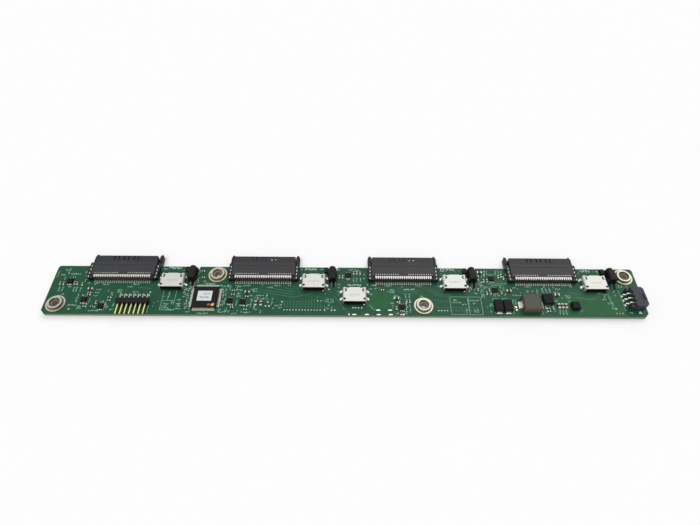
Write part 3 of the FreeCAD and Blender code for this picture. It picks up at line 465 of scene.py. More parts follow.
def spread(name, stamp, places, material, angle=35):
    # copies of a stamp, each set down, turned and sized, joined into one piece
    deselectAll()
    for x, y, z, turn, length, width, height in places:
        piece = ownCopy(stamp, name)
        piece.location = spot(x, y, z)
        piece.rotation_euler = (0, 0, math.radians(turn))
        piece.scale = (length, width, height)
        piece.select_set(True)
    bpy.context.view_layer.objects.active = piece
    bpy.ops.object.transform_apply()
    if len(places) > 1:
        bpy.ops.object.join()
    joined = bpy.context.object
    smooth(joined, angle)
    return finishPiece(joined, name, material)


plate = newStamp("cube")
disc = newStamp("disc")
dome = newStamp("dome")
cone = newStamp("cone")
wedge = newWedge()

# solder where a lead, cap or tab meets the board


def onBoard(place):
    # the reverse of spot, for a place in the frame
    return ((place[0] - middleX) / mm, (place[1] - frontY) / mm, (place[2] - topZ) / mm)


def endsOf(node, carriers):
    # each loose part's outer end: its place, its turn away from its carrier and its width
    found = []
    middles = [(low + high) / 2 for name in carriers for low, high in islandsOf(name)]
    for low, high in islandsOf(node):
        centre = (low + high) / 2
        carrier = min(middles, key=lambda middle: (middle - centre).length)
        away = centre - carrier
        if abs(away.x) > abs(away.y):
            end = Vector((high.x if away.x > 0 else low.x, centre.y, topZ))
            turn = 0 if away.x > 0 else 180
            width = high.y - low.y
        else:
            end = Vector((centre.x, high.y if away.y > 0 else low.y, topZ))
            turn = 90 if away.y > 0 else 270
            width = high.x - low.x
        found.append((end, turn, width / mm, (high.z - low.z) / mm))
    return found


filletTallest = 1.2
filletLooks = {
    "passive_end_caps": {"carriers": ["passive_bodies"], "reach": 0.2, "rise": 0.45, "over": 0.06},
    "small_chip_leads": {"carriers": ["small_chips"], "reach": 0.25, "rise": 0.5, "over": 0.1},
    "diode_terminals": {"carriers": ["diode_body_1", "diode_body_2"], "reach": 0.35, "rise": 0.2,
                        "over": 0.3},
    "inductor_terminals": {"carriers": ["inductor_core"], "reach": 0.3, "rise": 0.15, "over": 0.3},
}
fillets = []
for node, look in filletLooks.items():
    for end, turn, width, height in endsOf(node, look["carriers"]):
        x, y, z = onBoard(end)
        out = math.radians(turn)
        x += math.cos(out) * look["reach"] / 2
        y += math.sin(out) * look["reach"] / 2
        rise = min(height, filletTallest) * look["rise"]
        fillets.append((x, y, 0, turn, look["reach"], width + look["over"], rise))
spread("solder_fillets", wedge, fillets, tin)

leadPads = {"reach": 0.9, "over": 0.06, "height": 0.05, "back": 0.35}
pads = []
for end, turn, width, height in endsOf("controller_leads", ["controller_body"]):
    x, y, z = onBoard(end)
    out = math.radians(turn)
    shift = leadPads["reach"] / 2 - leadPads["back"]
    pads.append((x + math.cos(out) * shift, y + math.sin(out) * shift, 0, turn,
                 leadPads["reach"], width + leadPads["over"], leadPads["height"]))
spread("controller_pads", plate, pads, tin)

jointLook = {
    "tabRows": (1.2, 6.1), "tabOut": 0.25, "tab": (1.9, 2.0, 0.75),
    "tabConeIn": 0.15, "tabCone": (1.7, 2.21, -0.75),
    "pinHalf": 0.32, "pinCone": (1.7, 1.7, -0.75), "collar": (1.65, 1.65, 0.8),
}
lumps = []
joints = []
for number in range(1, 6):
    low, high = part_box("cable_shell_%d" % number)
    for row in jointLook["tabRows"]:
        for edge, out in ((low[0], -1), (high[0], 1)):
            x, y, z = onBoard((edge, high[1] - row * mm, topZ))
            lumps.append((x + out * jointLook["tabOut"], y, 0, 0, *jointLook["tab"]))
            joints.append((x - out * jointLook["tabConeIn"], y, -laminate, 0,
                           *jointLook["tabCone"]))
spread("tab_solder", dome, lumps, solder, 60)

pinSpots = []
for low, high in sorted(islandsOf("header_pins"), key=lambda box: box[0].x):
    pinSpots.append(((low.x + high.x) / 2, high.y - jointLook["pinHalf"] * mm, topZ))
for low, high in sorted(islandsOf("power_pins"), key=lambda box: box[0].y):
    pinSpots.append((low.x + jointLook["pinHalf"] * mm, (low.y + high.y) / 2, topZ))
collars = []
for x, y, z in map(onBoard, pinSpots):
    joints.append((x, y, -laminate, 0, *jointLook["pinCone"]))
    collars.append((x, y, 0, 0, *jointLook["collar"]))
editAll(spread("underside_joints", cone, joints, solder, 60))
bpy.ops.mesh.normals_make_consistent(inside=False)
endEdit()
spread("pin_collars", dome, collars, solder, 60)
print("solder placed")

# copper under the mask

copperLook = {
    "high": 0.012,
    "areas": [(20.2, 10.4, 13.4, 12.6), (138.4, 8.6, 37.0, 15.2), (90.5, 23.2, 7.0, 3.0)],
    "traceWide": 0.28,
    "traceHigh": 0.02,
    "runs": [
        [(-46, 18.5), (-40, 17.3), (-30, 15.5)],
        [(-50, 17), (-40, 15.7), (-31, 13.8)],
        [(-50, 15.5), (-42, 14.2), (-30, 12), (-22, 13.8), (-19, 14.3)],
        [(-35, 18.3), (-31, 17.3)],
        [(29, 17.5), (33, 14.6), (41, 15.2)],
        [(30, 19), (34, 16.2), (42, 16.8)],
        [(47, 17.6), (53, 13.2), (60, 13.4)],
        [(49, 17.8), (54, 14.4), (61, 14.6)],
        [(50, 10.8), (55, 9.8), (59, 10)],
        [(128, 13.2), (141, 12.2), (146, 16)],
        [(133, 12.2), (142, 11.2), (148, 15.6)],
        [(-7, 13), (1.8, 1.2)],
        [(128, 16.5), (133, 15.2)],
        [(-120, 18), (-112, 17.2)],
    ],
}
areas = [(x, y, 0, 0, length, width, copperLook["high"])
         for x, y, length, width in copperLook["areas"]]
spread("copper_areas", plate, areas, greenCopper)


stagger = 0.008  # keeps the tops of two strips that meet out of one plane


def strips(runs, wide, high):
    # straight strips end to end along each run
    places = []
    for run in runs:
        for n, ((x0, y0), (x1, y1)) in enumerate(zip(run, run[1:])):
            length = math.hypot(x1 - x0, y1 - y0) + wide
            turn = math.degrees(math.atan2(y1 - y0, x1 - x0))
            tall = high + stagger * (n % 2)
            places.append(((x0 + x1) / 2, (y0 + y1) / 2, 0, turn, length, wide, tall))
    return places


spread("trace_runs", plate, strips(copperLook["runs"], copperLook["traceWide"],
                                   copperLook["traceHigh"]), greenTrace)
print("copper laid")

# print on the board: captions as rows of plain strokes, outlines and dots

printLook = {
    "stroke": 0.28, "high": 0.02, "step": 0.72,
    "lift": 0.002, "lifts": 11,
    "barWide": 0.9, "barHigh": 0.7,
}
beat = [
    (1.0, 0.0, 0.4), (1.0, 0.0, None), (0.6, -0.2, -0.4), (1.0, 0.0, None), (0.55, 0.22, 0.0),
    (0.9, 0.05, -0.38), (1.0, 0.0, None), (0.5, -0.25, None), (1.0, 0.0, 0.0), (0.8, 0.1, 0.35),
    (0.45, 0.27, None),
]


def caption(x, y, length, height=0.9, turn=0, z=0.0):
    # upright strokes of varied height, some joined by a short bar, that spell nothing
    count = max(2, round(length / printLook["step"]))
    step = length / count
    angle = math.radians(turn)
    start = int(abs(x) * 7 + abs(y) * 5)  # where in the beat this caption begins
    thick = printLook["high"] + printLook["lift"] * (start % printLook["lifts"])
    strokes = []
    for n in range(count):
        tall, lift, level = beat[(n + start) % len(beat)]
        along = (n + 0.5) * step - length / 2
        strokes.append((along, lift * height, printLook["stroke"], height * tall, thick))
        if level is not None and n < count - 1:
            strokes.append((along + step / 2, level * height, step,
                            printLook["stroke"] * printLook["barWide"],
                            thick * printLook["barHigh"]))
    places = []
    for along, across, wide, tall, high in strokes:
        places.append((x + along * math.cos(angle) - across * math.sin(angle),
                       y + along * math.sin(angle) + across * math.cos(angle), z, turn,
                       wide, tall, high))
    return places


mintCaptions = [
    # left end
    (-162.6, 29.2, 4.5, 0.9, 90), (-158.3, 27.2, 6.0, 1.2), (-165.5, 26.4, 2.8),
    (-161.5, 13.0, 2.2), (-159.0, 18.3, 2.0), (-164.7, 16.4, 3.4, 0.8, 90),
    (-162.7, 16.4, 3.4, 0.8, 90), (-156.1, 16.4, 3.4, 0.8, 90), (-154.5, 16.4, 3.4, 0.8, 90),
    (-152.3, 16.3, 3.2, 0.8, 90), (-152.3, 10.4, 6.4, 0.9, 90), (-154.0, 5.8, 5.4),
    (-149.5, 12.3, 1.5), (-149.5, 4.9, 2.6), (-149.5, 3.6, 2.6), (-148.6, 20.8, 2.0, 0.8),
    (-144.5, 20.4, 2.6, 1.0, 20), (-138.8, 20.0, 4.2), (-141.7, 16.3, 3.0),
    (-142.2, 14.1, 3.0, 0.8), (-142.4, 12.2, 2.8, 0.8), (-140.8, 2.2, 6.0), (-141.2, 4.6, 2.0),
    (-137.5, 8.3, 2.4), (-133.6, 14.0, 1.8), (-133.4, 12.7, 1.8), (-129.7, 16.0, 2.8),
    (-129.4, 14.8, 2.8), (-135.4, 6.6, 3.0, 1.0, 75), (-134.0, 4.6, 2.4, 0.9, 75),
    (-130.8, 6.2, 2.2, 0.9, 90), (-131.2, 2.9, 2.4), (-121.4, 20.2, 4.0), (-124.5, 18.4, 3.0),
    (-120.5, 14.9, 3.2, 1.0), (-136.0, 15.5, 0.9, 0.8), (-152.6, 28.4, 1.2, 0.9, 60),
    (-152.2, 26.0, 1.2, 0.8, 90),
    # around the first cable receptacle and the controller
    (-89.0, 18.9, 2.8), (-89.2, 17.6, 2.2, 0.8), (-88.5, 15.4, 2.2, 0.8, 90),
    (-88.4, 11.6, 3.6, 0.8, 90), (-88.5, 7.4, 3.2, 0.8, 90), (-84.2, 19.8, 3.0, 0.8),
    (-78.6, 20.3, 5.0, 0.8), (-72.8, 19.6, 3.0), (-71.2, 16.8, 2.2), (-71.4, 9.8, 3.0, 0.8, 90),
    (-71.0, 3.3, 2.6), (-68.8, 13.8, 2.4, 0.8, 90), (-68.9, 8.0, 2.4, 0.8, 90), (-67.6, 19.2, 2.8),
    (-66.4, 2.7, 3.0), (-61.4, 19.0, 2.6), (-61.9, 12.6, 2.2, 0.8, 90), (-54.0, 17.0, 2.2),
    (-53.8, 12.7, 2.2), (-53.6, 10.0, 2.0, 0.8, 90), (-56.0, 1.6, 3.0, 0.8), (-107.0, 31.2, 3.6),
    (-100.9, 12.4, 5.6, 0.9, 90), (-101.8, 7.0, 3.6), (-102.2, 5.6, 3.0), (-101.6, 4.3, 4.2),
    (-98.6, 3.2, 5.0, 0.8), (-94.7, 9.7, 2.8), (-94.6, 7.0, 2.6, 1.0), (-94.4, 5.6, 2.8),
    (-94.2, 3.8, 3.4, 0.8), (-98.0, 7.6, 2.2, 0.8, 50), (-92.0, 17.2, 2.4),
    (-92.2, 15.6, 3.6, 1.0, 65), (-91.2, 13.4, 2.2), (-90.0, 16.6, 3.2, 0.8, 80),
    (-89.8, 12.0, 2.0, 0.8, 90), (-90.2, 8.6, 3.4, 0.9, 90), (-89.6, 5.0, 2.4, 0.8, 70),
    (-88.4, 1.9, 3.0, 0.8), (-80.0, 0.9, 6.4, 0.8), (-69.4, 1.9, 4.6), (-62.6, 0.9, 3.2, 0.8),
    (-87.4, 21.7, 4.6, 0.8), (-79.0, 21.0, 7.0, 0.8), (-86.6, 27.6, 1.8, 0.9, 70),
    (-86.2, 24.0, 3.0, 0.9, 60), (-82.4, 22.6, 2.4, 0.8), (-70.4, 13.5, 1.6, 0.8),
    (-70.2, 6.6, 2.2, 0.9, 40), (-69.0, 16.5, 2.4, 0.8, 80), (-70.6, 19.0, 2.6, 0.8),
    (-68.0, 19.4, 2.2, 0.8, 90), (-68.6, 10.5, 3.0, 0.8, 85), (-88.6, 25.8, 1.6, 0.8, 60),
    (-67.4, 3.8, 2.2, 0.8, 60),
    # between the first cable receptacle and the second
    (-60.9, 16.6, 3.0), (-61.2, 14.3, 2.8, 0.8), (-61.2, 12.4, 2.8, 0.8), (-52.3, 17.4, 2.8),
    (-52.3, 15.8, 2.8), (-49.2, 13.0, 4.8, 0.8), (-45.2, 13.0, 2.0, 0.8, 80),
    (-51.8, 11.4, 1.4, 0.8, 90), (-50.0, 11.6, 1.2, 0.8, 60), (-47.6, 10.7, 3.0),
    (-41.8, 10.8, 2.4, 0.6, 70), (-42.0, 7.8, 2.6, 0.6, 75), (-44.5, 10.2, 1.4, 0.8, 60),
    (-41.0, 4.6, 1.6, 0.6, 45), (-37.0, 6.8, 2.2), (-37.0, 4.8, 2.2), (-50.5, 3.6, 1.8),
    (-51.4, 5.0, 1.4, 0.8, 60), (-47.9, 2.4, 2.2, 0.9, 90), (-54.5, 1.9, 2.4, 0.8),
    (-60.6, 2.4, 1.8, 0.5, 90), (-58.6, 2.0, 1.8, 0.5, 90), (-54.6, 6.6, 2.4, 0.8),
    (-61.9, 8.0, 4.0, 0.5, 85), (-63.0, 19.8, 2.0, 0.8), (-57.3, 19.8, 4.2, 0.8),
    (-48.3, 20.0, 0.9, 0.8), (-39.9, 19.9, 3.8, 0.8), (-32.8, 19.8, 1.8, 0.8), (-43.6, 18.6, 2.8),
    (-26.6, 31.4, 1.4, 0.8, 60), (-14.2, 31.6, 2.8, 0.5), (-10.8, 10.6, 2.4), (-10.9, 9.3, 2.4),
    (-8.0, 10.4, 2.0), (-7.8, 9.1, 2.0), (-9.6, 7.4, 2.8, 0.6, 80), (-10.0, 4.7, 2.0, 0.8),
    (-7.9, 5.2, 1.6, 0.6, 90), (-11.9, 5.2, 1.6, 0.4, 90), (-13.8, 9.7, 2.4, 0.7),
    # around the middle cable receptacle
    (-4.4, 31.2, 2.0, 0.9, 40), (2.9, 31.5, 2.8, 1.2), (6.2, 31.1, 2.8), (-4.0, 20.8, 1.4, 0.8),
    (-4.0, 18.8, 1.3, 0.8), (-4.4, 16.2, 1.4, 0.8, 60), (-4.2, 13.8, 1.4, 0.8, 60),
    (4.4, 24.1, 3.0, 0.7, 90), (6.2, 24.1, 3.0, 0.7, 90), (8.4, 24.2, 3.0, 0.8, 90),
    (1.2, 24.3, 1.4, 0.8), (10.5, 27.9, 1.2), (10.5, 25.3, 1.2, 0.8), (14.1, 17.9, 2.0),
    (14.1, 14.2, 2.0), (15.6, 20.6, 2.0, 0.8), (17.2, 18.3, 2.0), (24.4, 20.0, 4.0),
    (26.5, 17.4, 2.8, 0.7), (26.5, 16.4, 2.8, 0.7), (26.5, 15.4, 2.8, 0.7), (24.3, 16.2, 1.2, 0.7),
    (32.5, 19.6, 1.2, 0.8), (42.0, 20.0, 3.8), (34.2, 13.3, 3.0, 0.7, 90),
    (36.2, 13.3, 3.0, 0.7, 90), (36.2, 5.0, 5.8, 0.6, 90), (34.4, 5.6, 2.2, 0.7, 60),
    (33.2, 3.0, 3.4, 0.8), (26.1, 8.3, 2.2, 0.8), (26.5, 6.0, 2.2, 0.6, 90), (28.7, 1.5, 2.2),
    (33.4, 1.4, 2.6, 0.8, 20), (43.1, 13.1, 2.2, 0.7), (28.8, 13.3, 3.0, 0.8),
    (30.0, 9.6, 1.8, 0.8, 60), (54.0, 20.0, 1.8, 0.8), (12.2, 20.8, 1.6, 0.8, 90),
    # around the third light
    (69.5, 31.7, 2.8, 0.7), (56.0, 28.6, 1.8, 0.8, 80), (71.3, 17.6, 3.6, 0.7, 80),
    (74.6, 15.3, 2.2), (78.3, 16.4, 2.2, 0.8), (78.7, 17.9, 2.0, 0.8), (78.0, 14.0, 3.4, 0.9, 90),
    (79.2, 13.8, 3.0, 0.8, 90), (77.6, 28.8, 3.0, 0.7, 75), (79.7, 27.3, 2.8, 0.7, 75),
    (81.4, 30.6, 2.2, 0.7, 60), (78.6, 22.6, 3.4, 0.8, 20), (77.8, 19.4, 2.2, 0.8, 40),
    (80.6, 19.2, 2.0, 0.8, 30), (88.3, 30.4, 3.0, 0.7, 90), (90.0, 30.4, 3.0, 0.7, 90),
    (91.7, 30.4, 3.0, 0.7, 90), (91.1, 18.8, 3.0, 0.7, 90), (89.6, 19.6, 2.6, 0.7, 90),
    (85.2, 13.8, 1.6, 0.8), (87.6, 13.8, 1.6, 0.8), (81.8, 7.4, 2.6, 0.9, 90),
    (83.0, 7.4, 2.6, 0.9, 90), (81.4, 3.2, 1.8, 0.8, 90), (95.0, 9.7, 3.4, 0.7, 90),
    (96.5, 9.5, 3.4, 0.7, 90), (97.3, 19.3, 2.2), (98.2, 14.1, 5.6, 0.5),
    (91.6, 14.6, 2.6, 0.6, 60), (74.4, 18.2, 1.4, 0.7, 60), (73.0, 10.4, 6.2),
    (62.2, 10.6, 2.6, 1.0), (62.7, 9.0, 6.0, 0.7), (67.0, 7.8, 3.0, 0.7), (72.8, 8.5, 2.2, 0.8),
    (73.4, 4.2, 3.0), (73.4, 3.0, 3.0, 0.8), (68.0, 3.4, 3.2, 0.8, 90), (69.6, 9.8, 4.4, 0.8, 90),
    (69.3, 5.2, 3.6, 0.6, 80),
    # power parts and the right end
    (105.5, 20.1, 4.0, 0.7), (104.6, 17.2, 1.8), (104.6, 16.0, 1.8, 0.8),
    (107.6, 17.0, 1.6, 0.9, 40), (110.4, 16.7, 3.0, 0.9, 90), (113.5, 17.6, 3.6, 0.9, 90),
    (115.7, 17.6, 3.6, 0.9, 90), (117.7, 17.9, 3.6, 0.9, 90), (114.8, 20.2, 1.4, 0.8, 60),
    (120.4, 19.8, 1.2), (122.6, 18.7, 3.0), (130.6, 20.2, 2.0, 0.7), (121.0, 16.4, 2.8),
    (127.3, 14.2, 3.0, 0.6), (127.3, 13.3, 3.0, 0.6), (127.3, 12.4, 3.0, 0.6), (119.9, 10.5, 2.2),
    (123.8, 12.8, 1.8, 0.8, 60), (120.3, 3.0, 3.4, 0.7, 90), (122.1, 3.0, 3.4, 0.7, 90),
    (123.9, 3.0, 3.4, 0.7, 90), (117.6, 5.0, 3.4, 0.7, 90), (110.5, 2.8, 2.0, 0.7, 90),
    (117.4, 7.6, 1.8, 0.7, 60), (136.9, 29.6, 2.4, 0.8, 30), (149.4, 14.9, 3.8, 0.7),
    (151.1, 11.6, 5.4, 0.7, 90), (147.6, 11.6, 2.6, 0.8), (148.6, 13.6, 2.4, 0.7, 60),
    (149.9, 9.0, 2.2, 0.8), (151.7, 8.4, 2.8, 0.9, 90), (150.9, 6.0, 1.8, 0.8, 90),
    (146.0, 15.8, 2.6, 0.6), (154.7, 17.1, 1.6, 0.8, 30), (154.7, 14.3, 1.4, 0.9, 30),
    (156.0, 20.3, 2.0, 0.7, 60), (160.4, 20.6, 2.0, 0.8, 90), (158.8, 20.6, 2.0, 0.7, 90),
    (163.4, 20.9, 2.2, 0.8, 20), (160.4, 2.9, 2.2, 0.8), (137.2, 18.2, 2.4, 0.5, 90),
    (112.9, 14.6, 1.6, 0.6, 60),
]
paleCaptions = [
    (-101.0, 32.0, 7.6, 1.5), (-21.0, 31.6, 7.0, 1.4), (4.8, 20.5, 8.2, 1.3),
    (61.6, 32.0, 5.2, 1.4), (141.8, 31.5, 6.2, 1.4), (36.4, 17.7, 6.6, 0.8), (113.5, 3.2, 2.6, 0.7),
]
outlineLook = {
    "wide": 0.2,
    "high": 0.02,
    "runs": [
        # doubled frame at the front
        [(59.2, 1.4), (59.2, 12.2), (59.8, 12.8), (76.4, 12.8), (76.9, 12.2), (76.9, 1.6),
         (76.3, 1.1), (59.8, 1.1), (59.2, 1.4)],
        [(69.5, 12.8), (69.5, 1.1)],
        # frames near the pin header
        [(-104.3, 3.0), (-104.3, 16.0)], [(-97.1, 6.6), (-97.1, 15.8)],
        [(-104.3, 9.1), (-97.1, 9.1)], [(-104.3, 3.0), (-96.2, 3.0)],
        # controller corners
        [(-88.0, 17.4), (-88.0, 19.5), (-86.2, 19.5)], [(-74.0, 19.5), (-71.6, 19.5)],
        [(-86.0, 19.9), (-74.6, 19.9)], [(-88.0, 3.2), (-88.0, 5.2)],
        # diode corners
        [(83.8, 9.6), (83.8, 11.9), (87.0, 11.9)], [(89.3, 10.2), (89.3, 11.9), (92.2, 11.9)],
        [(83.9, 1.9), (83.9, 3.4)], [(94.2, 1.9), (94.2, 3.4)],
        # third light's small parts
        [(83.2, 31.4), (82.8, 28.7), (87.7, 28.4)], [(88.4, 31.6), (88.4, 28.2)],
        [(82.4, 31.6), (80.7, 27.6)], [(82.4, 22.0), (93.2, 22.0)],
        [(77.2, 21.6), (79.4, 20.3), (82.2, 19.7), (84.6, 19.9)], [(84.2, 20.9), (90.4, 20.9)],
        [(92.4, 22.0), (93.4, 23.0)],
        # choke and chip corners
        [(126.8, 9.4), (126.8, 10.6), (128.4, 10.6)], [(132.6, 3.2), (133.2, 4.4)],
        [(13.1, 7.0), (16.0, 3.6)], [(26.8, 11.0), (27.6, 13.0)], [(31.2, 11.0), (30.4, 13.0)],
        [(-53.6, 5.2), (-53.6, 9.8)], [(-53.6, 9.8), (-52.4, 9.8)],
        [(-145.0, 10.4), (-145.0, 7.6)], [(-135.2, 2.6), (-135.8, 7.6)],
        # power header and strip outlines
        [(157.6, 4.0), (157.6, 17.6)], [(-110.9, 6.0), (-110.9, 0.9)],
    ],
}
captions = [place for row in mintCaptions for place in caption(*row)]
captions += strips(outlineLook["runs"], outlineLook["wide"], outlineLook["high"])
spread("board_print", plate, captions, mintPrint)
bright = [place for row in paleCaptions for place in caption(*row)]
spread("bright_print", plate, bright, palePrint)

ringLook = {
    "sides": 56, "high": 0.02,
    "radius": 5.8, "wide": 0.2,
    "boreRadius": 1.94, "boreWall": 0.05, "boreLow": -3.0, "boreHigh": 3.85,
    "shades": {"flange": (4.55, 0.55, 0.7), "seat": (2.9, 0.85, 0.9)}, "shadeHigh": 0.012,
    "light": (57.0, 31.7, 1.15, 0.35),
}


def ring(name, x, y, radius, wide, material, level=0.0, high=ringLook["high"],
         slotName="board_laminate"):
    # a flat ring of print, or a thin tube
    deselectAll()
    bpy.ops.mesh.primitive_circle_add(vertices=ringLook["sides"], radius=radius * mm,
                                      fill_type="NGON", location=spot(x, y, level))
    piece = bpy.context.object
    editAll(piece)
    bpy.ops.mesh.inset(thickness=wide * mm)
    bpy.ops.mesh.delete(type="ONLY_FACE")
    bpy.ops.mesh.select_all(action="SELECT")
    bpy.ops.mesh.extrude_region_move(TRANSFORM_OT_translate={"value": (0, 0, high * mm)})
    bpy.ops.mesh.select_all(action="SELECT")
    bpy.ops.mesh.normals_make_consistent(inside=False)
    endEdit()
    bpy.ops.object.transform_apply()
    smooth(piece)
    return finishPiece(piece, name, material)


for number in range(1, 5):
    low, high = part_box("mounting_spacer_%d" % number)
    x, y, z = onBoard(((low[0] + high[0]) / 2, (low[1] + high[1]) / 2, topZ))
    ring("spacer_ring_%d" % number, x, y, ringLook["radius"], ringLook["wide"], greenTrace)
    # painted reflection: a paler tube lining each spacer's bore
    ring("bore_reflection_lining_%d" % number, x, y, ringLook["boreRadius"], ringLook["boreWall"], boreReflection,
         ringLook["boreLow"], ringLook["boreHigh"], "spacer_metal")
    for place, (radius, wide, level) in ringLook["shades"].items():
        ring("%s_shade_%d" % (place, number), x, y, radius, wide, oliveShade, level,
             ringLook["shadeHigh"], "spacer_metal")
ring("light_ring", *ringLook["light"], palePrint)

firstPin = {"place": (165.6, 3.0, 0.015), "sides": 3, "radius": 1.25, "high": 0.03}
deselectAll()
bpy.ops.mesh.primitive_cylinder_add(vertices=firstPin["sides"], radius=firstPin["radius"] * mm,
                                    depth=firstPin["high"] * mm,
                                    location=spot(*firstPin["place"]))
bpy.ops.object.transform_apply()
finishPiece(bpy.context.object, "first_pin_mark", palePrint)
print("print laid")

# drive receptacles: tinned tails, contact dashes in the slits, tips in the windows

tailLook = {
    "pitch": 1.27, "count": 26, "inner": 2.45,
    "place": -8.55, "level": 2.88, "size": (0.98, 1.15, 0.12),
    "dashPlace": -6.85, "dashLevel": 3.0, "dashSize": (0.66, 0.5, 0.06),
}
windowLook = {
    "step": 5.72, "gap": 2.45, "shift": -0.38, "level": 2.4,
    "bridges": [(4.0, (0.58, 0.9, 0.69)), (2.55, (0.58, 0.5, 0.69))],
    "tipPlace": 3.2, "tipLevel": 2.85, "tipSize": (0.7, 0.9, 0.36),
}
tails = []
dashes = []
fills = []
tips = []
for number in range(1, 5):
    low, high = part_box("drive_contacts_%d" % number)
    x, back, z = onBoard(((low[0] + high[0]) / 2, boardHigh[1], topZ))
    for n in range(tailLook["count"]):
        shift = (n - (tailLook["count"] - 1) / 2) * tailLook["pitch"]
        tails.append((x + shift, back + tailLook["place"], tailLook["level"], 0,
                      *tailLook["size"]))
        if abs(shift) > tailLook["inner"]:
            dashes.append((x + shift, back + tailLook["dashPlace"], tailLook["dashLevel"], 0,
                           *tailLook["dashSize"]))
    if number in (2, 3):
        for pair in (-1, 0, 1):
            for side in (-1, 1):
                at = x + windowLook["step"] * pair + windowLook["shift"]
                at += side * windowLook["gap"] / 2
                for along, size in windowLook["bridges"]:
                    fills.append((at, back + along, windowLook["level"], 0, *size))
                if pair == 1:
                    tips.append((at, back + windowLook["tipPlace"], windowLook["tipLevel"], 0,
                                 *windowLook["tipSize"]))
spread("contact_tails", plate, tails, tailTin)
spread("contact_dashes", plate, dashes, dashTin)
spread("window_bridges", plate, fills, charcoal)
spread("window_tips", dome, tips, solder, 60)

# cable receptacles: painted shade as black discs over the shell's holes and crescents, a steel
# tongue over part of each crescent, a clip, faint plain strokes

holeLook = {
    "level": 3.385, "lip": 0.6,
    "hole": (5.6, 1.6), "holeSize": (1.5, 1.5, 0.03),
    "crescent": (5.15, 7.45), "crescentSize": (1.8, 2.2, 0.03),
    "tongueOut": 0.45, "tongueSize": (1.0, 1.35, 0.045),
    "caption": (0.0, 4.2, 6.4, 0.8),
    "clip": (5.4, -0.35, 0.3), "clipSize": (1.1, 0.7, 0.22), "clipped": (2, 3, 5),
}
holes = []
tongues = []
clips = []
shellStrokes = []
for number in range(1, 6):
    low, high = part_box("cable_shell_%d" % number)
    x, y, z = onBoard(((low[0] + high[0]) / 2, low[1] + holeLook["lip"] * mm, topZ))
    level = holeLook["level"]
    for side in (-1, 1):
        across, along = holeLook["hole"]
        holes.append((x + side * across, y + along, level, 0, *holeLook["holeSize"]))
        across, along = holeLook["crescent"]
        holes.append((x + side * across, y + along, level, 0, *holeLook["crescentSize"]))
        across += holeLook["tongueOut"]
        tongues.append((x + side * across, y + along, level, 0, *holeLook["tongueSize"]))
    across, along, length, tall = holeLook["caption"]
    shellStrokes += caption(x + across, y + along, length, tall, z=level)
    if number in holeLook["clipped"]:
        across, along, level = holeLook["clip"]
        clips.append((x + across, y + along, level, 0, *holeLook["clipSize"]))
# painted shade: black discs laid on the shell's top over its holes and crescents
spread("shell_hole_shades", disc, holes, black)
spread("shell_tongues", disc, tongues, shieldSteel)
spread("lip_clips", dome, clips, solder, 60)
spread("shell_strokes", plate, shellStrokes, shellPrint)

# pin header: the back of the strip is scalloped, a point behind each pin

scallopLook = {"count": 7, "inset": 0.15, "level": 0.05, "side": 1.65, "below": 0.1}
x0, stripBack, z = onBoard((stripLow[0], stripHigh[1], topZ))
x1, y, stripTall = onBoard(stripHigh)
scallops = []
for n in range(scallopLook["count"]):
    x = x0 + (n + 0.5) * (x1 - x0) / scallopLook["count"]
    scallops.append((x, stripBack - scallopLook["inset"], scallopLook["level"], 45,
                     scallopLook["side"], scallopLook["side"], stripTall - scallopLook["below"]))
spread("strip_scallops", plate, scallops, black)

# diodes: a bright roll of solder before each front end

rollLook = {"before": 0.75, "size": (3.0, 0.9, 0.5)}
rolls = []
for number in (1, 2):
    low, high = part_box("diode_body_%d" % number)
    x, y, z = onBoard(((low[0] + high[0]) / 2, low[1], topZ))
    rolls.append((x, y - rollLook["before"], 0, 0, *rollLook["size"]))
spread("diode_solder", dome, rolls, solder, 60)

# controller: label with plain strokes, and two paint marks

labelLook = {
    "middle": (-80.1, 11.6), "size": (8.2, 6.6), "high": 0.06,
    "captions": [(-79.0, 12.9, 3.8, 1.1), (-80.3, 10.6, 6.2, 1.1)],
    "red": (-77.0, 5.8, 20, 1.8, 1.4), "yellow": (-74.8, 5.75, 50, 2.1, 1.7), "markHigh": 0.1,
}
bodyTop = (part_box("controller_body")[1][2] - topZ) / mm
x, y = labelLook["middle"]
length, width = labelLook["size"]
spread("controller_label", plate, [(x, y, bodyTop, 0, length, width, labelLook["high"])],
       labelWhite)
strokes = [place for row in labelLook["captions"]
           for place in caption(*row, z=bodyTop + labelLook["high"])]
spread("label_strokes", plate, strokes, labelGrey)
for name, paint in (("red", markRed), ("yellow", markYellow)):
    x, y, turn, length, width = labelLook[name]
    mark = (x, y, bodyTop, turn, length, width, labelLook["markHigh"])
    spread(name + "_paint_mark", dome, [mark], paint, 60)

# more two-ended parts, each a body between two caps

extraLook = {"length": 1.3, "width": 0.65, "height": 0.45, "cap": 0.32, "capHigh": 0.02}
extraParts = {
    0: [
        (-158.2, 24.6), (-142.4, 4.9), (-92.4, 14.2), (-92.0, 11.6), (-90.4, 6.6), (-69.6, 8.6),
        (-70.0, 6.0), (-86.4, 22.6), (-46.4, 10.6), (-39.2, 5.9), (79.4, 22.8), (78.4, 20.8),
        (16.6, 20.0), (33.4, 4.0),
    ],
    90: [
        (-163.2, 23.6), (-134.6, 5.2), (-133.2, 13.4), (-151.0, 22.4), (-92.6, 17.0),
        (-90.2, 16.2), (-90.2, 13.0), (-90.0, 9.6), (-90.2, 4.2), (-93.6, 6.4), (-98.2, 8.4),
        (-70.2, 15.0), (-70.0, 12.0), (-66.6, 17.2), (-62.6, 17.2), (-88.0, 24.6), (-86.0, 29.4),
        (-50.2, 10.4), (-45.0, 12.2), (-51.6, 4.6), (77.8, 27.0), (77.4, 24.2), (81.2, 27.8),
        (94.0, 25.0), (94.0, 28.2), (72.2, 18.6), (76.2, 17.6), (82.8, 17.6), (95.4, 6.0),
        (112.8, 5.6), (117.0, 5.8), (30.2, 8.6), (34.0, 7.4), (148.6, 30.6),
    ],
}
bodies = []
ends = []
